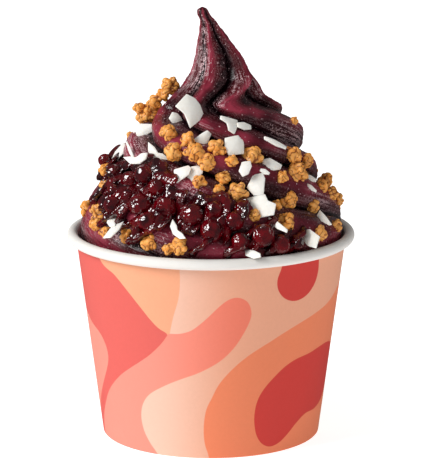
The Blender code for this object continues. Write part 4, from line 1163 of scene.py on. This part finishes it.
def back_places(count, seed):
    """Places on the back of the swirl, spread by the golden ratio and then shaken a little."""
    cup = bpy.context.scene.acai_cup_sizes
    rng = random.Random(seed)
    golden = (math.sqrt(5) - 1) / 2
    for k in range(count):
        azimuth = BACK_AZIMUTHS[0] + (BACK_AZIMUTHS[1] - BACK_AZIMUTHS[0]) * (k * golden % 1.0)
        share = ((k + 0.5) / count) ** BACK_CROWDING
        height = BACK_HEIGHTS[0] + (BACK_HEIGHTS[1] - BACK_HEIGHTS[0]) * share
        azimuth += rng.uniform(-BACK_SHAKE[0], BACK_SHAKE[0])
        height += rng.uniform(-BACK_SHAKE[1], BACK_SHAKE[1])
        out = Vector((math.cos(math.radians(azimuth)), math.sin(math.radians(azimuth)), 0.0))
        start = out * 2 * cup.rim_radius + Vector((0, 0, height * MM))
        place, normal, _, _ = swirl_tree().ray_cast(start, -out)
        yield place, normal


def inside_rim(centre, reach):
    """Moves a centre away from the rim's roll, or from the wall below it, if its piece would meet them."""
    cup = bpy.context.scene.acai_cup_sizes
    roll = Vector((cup.rim_radius - cup.curl_radius, cup.height - cup.curl_radius))
    away = Vector((centre.xy.length, centre.z)) - roll
    if away.y < 0:
        away.x = min(away.x, wall_radius(cup, centre.z) - cup.paper - GAP - reach - roll.x)
    elif away.length < cup.curl_radius + GAP + reach:
        away = away.normalized() * (cup.curl_radius + GAP + reach)
    flat = centre.xy.normalized() * (roll.x + away.x)
    return Vector((flat.x, flat.y, roll.y + away.y))


@functools.lru_cache(maxsize=1)
def berries():
    """Name, centre and radius of each berry, from its solid."""
    boxes = {name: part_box(name) for name in sorted(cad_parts) if name.startswith("berry_")}
    return [(name, (low + high) / 2, max(high - low) / 2) for name, (low, high) in boxes.items()]


def keep_clear(place, reach):
    """A place on the skin moved away from the berries, or None if it can't be."""
    for _ in range(CLEARING_TRIES):
        crowding = [(c, r) for _, c, r in berries() if (place - c).length < r + reach + GAP]
        if not crowding:
            return place
        for centre, radius in crowding:
            lack = radius + reach + 2 * GAP - (place - centre).length
            place = place + (place - centre).normalized() * lack
        place, _, _, _ = swirl_tree().find_nearest(place)
    return None


def clear_point(point):
    """A point moved out of the rim, the wall and the berries."""
    point = inside_rim(point, 0)
    for _, centre, radius in berries():
        apart = point - centre
        if apart.length < radius + GAP:
            point = centre + apart.normalized() * (radius + GAP)
    return point


def settle(mesh):
    """Shifts a topping until no corner of it lies in the cup or in a berry."""
    for _ in range(SETTLING_TRIES):
        shift = max((clear_point(vert.co) - vert.co for vert in mesh.verts), key=lambda s: s.length)
        if shift.length < SHIFT_THAT_COUNTS * MM:
            break
        bmesh.ops.translate(mesh, verts=mesh.verts, vec=shift)
    return mesh


def add_to(whole, mesh):
    """Adds one bmesh to another; the first is freed."""
    data = mesh_data("part", mesh)
    whole.from_mesh(data)
    bpy.data.meshes.remove(data)


def random_turn(rng):
    """A rotation in no particular direction."""
    axis = Vector([rng.uniform(-1, 1) for _ in range(3)]).normalized()
    return Matrix.Rotation(rng.uniform(0, 2 * math.pi), 4, axis)


def granola_cluster(middle, size, lumps, seed):
    """A bmesh of one cluster: oat lumps of uneven size, baked together round a core."""
    rng = random.Random(seed)
    mesh = bmesh.new()
    golden = math.pi * (3 - math.sqrt(5))
    shapes = [(middle, CORE * size, (1.0, 0.95, 0.9))]
    for k in range(lumps):
        level = 1 - 2 * (k + 0.5) / lumps
        around = k * golden + rng.uniform(-LUMP_SHAKE, LUMP_SHAKE)
        flat = math.sqrt(1 - level * level)
        out = Vector((flat * math.cos(around), flat * math.sin(around), level))
        radius = size * rng.uniform(*LUMP_SIZES)
        centre = middle + out * (size / 2 * rng.uniform(*LUMP_REACH) - radius)
        shapes.append((centre, radius, tuple(rng.uniform(*limits) for limits in LUMP_STRETCH)))
    for centre, radius, stretch in shapes:
        shape = Matrix.Translation(centre) @ random_turn(rng) @ Matrix.Diagonal((*stretch, 1))
        bmesh.ops.create_icosphere(mesh, subdivisions=2, radius=radius, matrix=shape)
    return mesh


def build_granola():
    """Every granola cluster, as one piece."""
    look = bpy.context.scene.acai_topping_settings
    clusters = [(*seen_place(across, up, size * PROUD * MM), size) for across, up, size in GRANOLA]
    clusters += [(Vector((across, 0, up)) * MM, Vector(), size) for across, up, size in PILE]
    rng = random.Random(BACK_SEED)
    clusters += [(p, n, rng.uniform(*BACK_CLUSTERS)) for p, n in back_places(BACK_GRANOLA, BACK_SEED)]
    rough = bmesh.new()
    middles = []
    for seed, (place, normal, size) in enumerate(clusters):
        reach = size / 2 * CLUSTER_REACH * MM
        place = keep_clear(inside_rim(place, reach), reach)
        if place is not None:
            middle = place + normal * size * GRANOLA_LIFT * MM
            cluster = granola_cluster(middle, size * CLUSTER_SWELL * MM, look.lumps, seed)
            add_to(rough, settle(cluster))
            middles.append(middle)
    mesh = fused("granola", rough, look.grain)
    crease = mesh.verts.layers.float.new("crease")
    bake = mesh.verts.layers.float.new("bake")
    baked = [random.Random(k).uniform(0.0, MOST_UNBAKED) ** 2 / MOST_UNBAKED for k in range(len(middles))]
    mesh.normal_update()
    for vert, hollow in zip(mesh.verts, hollowness(mesh)):
        nearest = min(range(len(middles)), key=lambda k: (vert.co - middles[k]).length_squared)
        vert[bake] = baked[nearest]
        fold = abs(noise.noise(vert.co / look.fold_size))
        # partly painted shade: the crease attribute darkens the hollows and the noise folds
        vert[crease] = max(hollow, smooth(1 - fold / FOLD_WIDTH) * FOLD_SHADE)
        vert.co += vert.normal * look.folds * (min(1.0, fold / (2 * FOLD_WIDTH)) - 1)
    data = mesh_data("granola_clusters", mesh)
    show("granola_clusters", data, [toasted_oats()], ["acai"], 180.0)


def flake_frame(normal, sight, angle, seed):
    """Axes of a flake: along, across and out of it.  Its outline is true as seen along the sight."""
    rng = random.Random(seed)
    facing = (normal + sight * FACE_THE_EYE).normalized()
    level = Vector((0, 0, 1)).cross(sight).normalized()
    rise = Vector((0, 0, 1))
    turn = math.radians(angle)
    cosine, sine = math.cos(turn), math.sin(turn)
    seen = (level * cosine + rise * sine, rise * cosine - level * sine)
    facing.rotate(Matrix.Rotation(math.radians(rng.uniform(-FLAKE_TIP, FLAKE_TIP)), 3, seen[0]))
    along, across = (way - sight * way.dot(facing) / sight.dot(facing) for way in seen)
    return along, across, facing


def coconut_flake(middle, axes, size, width, outline, seed):
    """A bmesh of one chip, of that length: its outline filled in rings, given its thickness, and curled."""
    look = bpy.context.scene.acai_topping_settings
    along, across, out = axes
    rng = random.Random(seed)
    mesh = bmesh.new()
    shake = [rng.uniform(-FLAKE_SHAKE, FLAKE_SHAKE) for _ in range(2 * len(outline))]
    corners = [(x + dx, y + dy) for (x, y), dx, dy in zip(outline, shake[::2], shake[1::2])]
    mesh.faces.new([mesh.verts.new((x * size, y * width, 0.0)) for x, y in corners])
    bmesh.ops.subdivide_edges(mesh, edges=mesh.edges, cuts=2, smooth=FLAKE_SMOOTHING, use_grid_fill=False)
    for _ in range(FLAKE_RINGS):
        inner = max(mesh.faces, key=lambda f: f.calc_area())
        bmesh.ops.inset_region(mesh, faces=[inner], thickness=width * RING_WIDTH, use_even_offset=False)
    inner = max(mesh.faces, key=lambda f: f.calc_area())
    bmesh.ops.poke(mesh, faces=[inner])
    made = bmesh.ops.extrude_face_region(mesh, geom=mesh.faces[:])
    top = [v for v in made["geom"] if isinstance(v, bmesh.types.BMVert)]
    bmesh.ops.translate(mesh, verts=top, vec=(0, 0, look.flake_thickness))
    rim = [e for e in mesh.edges if e.is_manifold and e.calc_face_angle(0.0) > 1.0]
    bmesh.ops.recalc_face_normals(mesh, faces=mesh.faces)
    bmesh.ops.bevel(
        mesh,
        geom=rim,
        offset=FLAKE_EDGE * MM,
        affect="EDGES",
        segments=1,
        profile=0.5,
        material=-1,
        clamp_overlap=True,
    )
    curl = look.flake_curl * rng.uniform(*FLAKE_CURLS)
    twist = rng.uniform(-FLAKE_TWIST, FLAKE_TWIST)
    for vert in mesh.verts:
        x, y, z = vert.co
        bow = curl * (4 * x * x / size + 2 * y * y / width) - twist * x * y / size
        ripple = RIPPLE * MM * noise.noise(Vector((x, y, seed * 5 * MM)) / (RIPPLE_SIZE * MM))
        vert.co = middle + along * x + across * y + out * (z - look.flake_thickness / 2 + ripple - bow)
    return mesh


def build_coconut():
    """Every coconut flake, as one piece."""
    rng = random.Random(BACK_SEED)
    for _ in range(BACK_GRANOLA):  # the draws that set the sizes of the clusters at the back
        rng.uniform(*BACK_CLUSTERS)
    chips = []
    for across, up, *shape in FLAKES:
        place, normal = seen_place(across, up)
        chips.append((place, normal, (VIEWPOINT * MM - place).normalized(), *shape))
    for place, normal in back_places(BACK_FLAKES, BACK_SEED + 1):
        outline, share = rng.choice(BACK_OUTLINES)
        size = rng.uniform(*BACK_CHIPS)
        angle = rng.uniform(-BACK_SWEEP, BACK_SWEEP)
        chips.append((place, normal, normal, size, size * share, angle, outline))
    whole = bmesh.new()
    for seed, (place, normal, sight, size, width, angle, outline) in enumerate(chips):
        inward = inside_rim(place, (width / 2 + FLAKE_LIFT) * MM)
        place = keep_clear(inward, (size + width) / 4 * MM)
        if place is None:
            continue
        axes = flake_frame(normal, sight, angle, seed)
        dip = size / 2 * axes[2].cross(normal).length
        lift = (FLAKE_LIFT + FLAKE_STAND * dip) / max(MOST_SLOPE, sight.dot(normal))
        middle = place + sight * lift * MM
        add_to(whole, settle(coconut_flake(middle, axes, size * MM, width * MM, outline, seed)))
    bmesh.ops.recalc_face_normals(whole, faces=whole.faces)
    show("coconut_flakes", mesh_data("coconut_flakes", whole), [coconut_flesh()], ["acai"], 50.0)


def berry_mesh(centre, radius, wrinkle, seed):
    """A cooked berry: a soft ball with wrinkles, and a dimple where its flower was."""
    rng = random.Random(seed)
    mesh = bmesh.new()
    bmesh.ops.create_icosphere(mesh, subdivisions=4, radius=1.0)
    dimple = Vector([rng.uniform(-1, 1) for _ in range(3)]).normalized()
    for vert in mesh.verts:
        out = vert.co.normalized()
        away = math.acos(max(-1.0, min(1.0, out.dot(dimple))))
        dent = -DIMPLE_DEPTH * math.exp(-((away / DIMPLE_WIDTH) ** 2))
        folds = noise.fractal(out * WRINKLE_FREQUENCY + Vector((seed, 0, 0)), 0.9, 2.0, 3)
        vert.co = centre + out * radius * (1.0 + dent + wrinkle * folds)
    return mesh


def build_berries():
    """Each glazed berry is a piece of its own, in its solid's place."""
    look = bpy.context.scene.acai_topping_settings
    finish = glazed_skin()
    for seed, (name, centre, radius) in enumerate(berries()):
        mesh = berry_mesh(centre, radius, look.wrinkle, seed)
        show(f"glazed_{name}", mesh_data(name, mesh), [finish], [name], 180.0)


def build_syrup():
    """Red syrup in lumpy sheets that fills in between the berries and wets the swirl round them."""
    look = bpy.context.scene.acai_topping_settings
    rng = random.Random(SYRUP_SEED)
    rough = bmesh.new()
    for _, berry, radius in berries():
        foot, normal, _, _ = swirl_tree().find_nearest(berry)
        side = normal.orthogonal()
        for k in range(look.drops):
            around = Matrix.Rotation(2 * math.pi * (k + rng.uniform(0, 0.8)) / look.drops, 3, normal)
            reach = radius * rng.uniform(0.7, 1.0) + look.spread * rng.random()
            place, out, _, _ = swirl_tree().find_nearest(foot + around @ side * reach)
            size = rng.uniform(*DROP_SIZES) * MM
            if place.x < SYRUP_END * MM:
                continue
            place = inside_rim(place, size)
            lie = out.to_track_quat("Z", "Y").to_matrix().to_4x4()
            stretch = Matrix.Diagonal((rng.uniform(*DROP_STRETCH), 1, DROP_FLATNESS, 1))
            shape = Matrix.Translation(place) @ lie @ stretch
            bmesh.ops.create_icosphere(rough, subdivisions=2, radius=size, matrix=shape)
    mesh = fused("syrup", rough, look.syrup)
    for _ in range(SYRUP_SMOOTHING):
        bmesh.ops.smooth_vert(
            mesh, verts=mesh.verts, factor=0.5, use_axis_x=True, use_axis_y=True, use_axis_z=True
        )
    show("berry_syrup", mesh_data("berry_syrup", mesh), [fruit_syrup()], [], 180.0)


# ---- the stage ----


def build_stage():
    """A plain pale floor, a broad soft light from the left, even surroundings, and the camera."""
    look = bpy.context.scene.acai_stage_settings
    scene = bpy.context.scene
    mesh = bmesh.new()
    bmesh.ops.create_grid(mesh, x_segments=1, y_segments=1, size=look.floor_size / 2)
    floor = bpy.data.objects.new("floor", mesh_data("floor", mesh))
    floor.data.materials.append(light_table())
    floor.visible_glossy = False  # its glow lights the cup, and doesn't show in wet surfaces
    scene.collection.objects.link(floor)
    floor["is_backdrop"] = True
    key = bpy.data.objects.new("key_light", bpy.data.lights.new("key_light", "SUN"))
    key.data.energy, key.data.angle = look.key_power, look.key_softness
    level = math.cos(KEY_HEIGHT)
    to_key = Vector((-math.sin(KEY_LEFT) * level, -math.cos(KEY_LEFT) * level, math.sin(KEY_HEIGHT)))
    key.rotation_euler = (-to_key).to_track_quat("-Z", "Y").to_euler()
    scene.collection.objects.link(key)
    world = bpy.data.worlds.new("studio")
    world.use_nodes = True
    world.node_tree.nodes["Background"].inputs["Color"].default_value = linear("#ffffff")
    mirrored = node(world.node_tree, "ShaderNodeLightPath").outputs["Is Glossy Ray"]
    dimmer = {"Value": mirrored, "To Min": look.sky, "To Max": look.sky * MIRRORED_SKY}
    strength = node(world.node_tree, "ShaderNodeMapRange", dimmer).outputs["Result"]
    world.node_tree.links.new(strength, world.node_tree.nodes["Background"].inputs["Strength"])
    scene.world = world
    scene.view_settings.view_transform = "Standard"
    lens = bpy.data.cameras.new("camera")
    lens.sensor_width, lens.lens = SENSOR, LENS
    lens.clip_start, lens.clip_end = 0.05, 50.0
    camera = bpy.data.objects.new("camera", lens)
    camera.location = CAMERA_PLACE
    camera.rotation_euler = (math.radians(90) - CAMERA_DOWN, 0.0, 0.0)
    scene.collection.objects.link(camera)
    scene.camera = camera


# ---- the add-on ----


class ACAI_OT_cup_wall(bpy.types.Operator):
    """Make the printed paper wall"""

    bl_idname = "acai.cup_wall"
    bl_label = "Cup wall"

    def execute(self, context):
        build_cup_wall()
        return {"FINISHED"}


class ACAI_OT_cup_base(bpy.types.Operator):
    """Make the paper base"""

    bl_idname = "acai.cup_base"
    bl_label = "Cup base"

    def execute(self, context):
        build_cup_base()
        return {"FINISHED"}


class ACAI_OT_swirl(bpy.types.Operator):
    """Make the acai swirl"""

    bl_idname = "acai.swirl"
    bl_label = "Acai swirl"

    def execute(self, context):
        build_swirl()
        return {"FINISHED"}


class ACAI_OT_berries(bpy.types.Operator):
    """Make the glazed berries"""

    bl_idname = "acai.berries"
    bl_label = "Berries"

    def execute(self, context):
        build_berries()
        return {"FINISHED"}


class ACAI_OT_syrup(bpy.types.Operator):
    """Make the syrup between the berries"""

    bl_idname = "acai.syrup"
    bl_label = "Syrup"

    def execute(self, context):
        build_syrup()
        return {"FINISHED"}


class ACAI_OT_granola(bpy.types.Operator):
    """Make the granola clusters"""

    bl_idname = "acai.granola"
    bl_label = "Granola"

    def execute(self, context):
        build_granola()
        return {"FINISHED"}


class ACAI_OT_coconut(bpy.types.Operator):
    """Make the coconut flakes"""

    bl_idname = "acai.coconut"
    bl_label = "Coconut flakes"

    def execute(self, context):
        build_coconut()
        return {"FINISHED"}


class ACAI_OT_stage(bpy.types.Operator):
    """Make the floor, the lights and the camera"""

    bl_idname = "acai.stage"
    bl_label = "Stage"

    def execute(self, context):
        build_stage()
        return {"FINISHED"}


OPERATORS = (
    ACAI_OT_cup_wall,
    ACAI_OT_cup_base,
    ACAI_OT_swirl,
    ACAI_OT_berries,
    ACAI_OT_syrup,
    ACAI_OT_granola,
    ACAI_OT_coconut,
    ACAI_OT_stage,
)
GROUPS = {
    "acai_cup_sizes": AcaiCupSizes,
    "acai_cup_colours": AcaiCupColours,
    "acai_swirl_settings": AcaiSwirlSettings,
    "acai_topping_settings": AcaiToppingSettings,
    "acai_stage_settings": AcaiStageSettings,
}


class ACAI_PT_panel(bpy.types.Panel):
    """The cup's settings and the pieces to make"""

    bl_idname = "ACAI_PT_panel"
    bl_label = "Cup of acai"
    bl_space_type = "VIEW_3D"
    bl_region_type = "UI"
    bl_category = "Acai cup"

    def draw(self, context):
        for name, group in GROUPS.items():
            box = self.layout.box()
            box.label(text=group.__doc__)
            for setting in group.__annotations__:
                box.prop(getattr(context.scene, name), setting)
        for operator in OPERATORS:
            self.layout.operator(operator.bl_idname)


def register():
    for group in GROUPS.values():
        bpy.utils.register_class(group)
    for name, group in GROUPS.items():
        setattr(bpy.types.Scene, name, PointerProperty(type=group))
    for operator in OPERATORS:
        bpy.utils.register_class(operator)
    bpy.utils.register_class(ACAI_PT_panel)


def unregister():
    bpy.utils.unregister_class(ACAI_PT_panel)
    for operator in reversed(OPERATORS):
        bpy.utils.unregister_class(operator)
    for name in GROUPS:
        delattr(bpy.types.Scene, name)
    for group in reversed(GROUPS.values()):
        bpy.utils.unregister_class(group)


def main():
    register()
    for make in (
        bpy.ops.acai.cup_wall,
        bpy.ops.acai.cup_base,
        bpy.ops.acai.swirl,
        bpy.ops.acai.berries,
        bpy.ops.acai.syrup,
        bpy.ops.acai.granola,
        bpy.ops.acai.coconut,
        bpy.ops.acai.stage,
    ):
        make()
    sizes = {"cad": CAD_BOX, "visual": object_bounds()}
    {name: [list(low), list(high)] for name, (low, high) in sizes.items()}


if __name__ == "__main__":
    main()
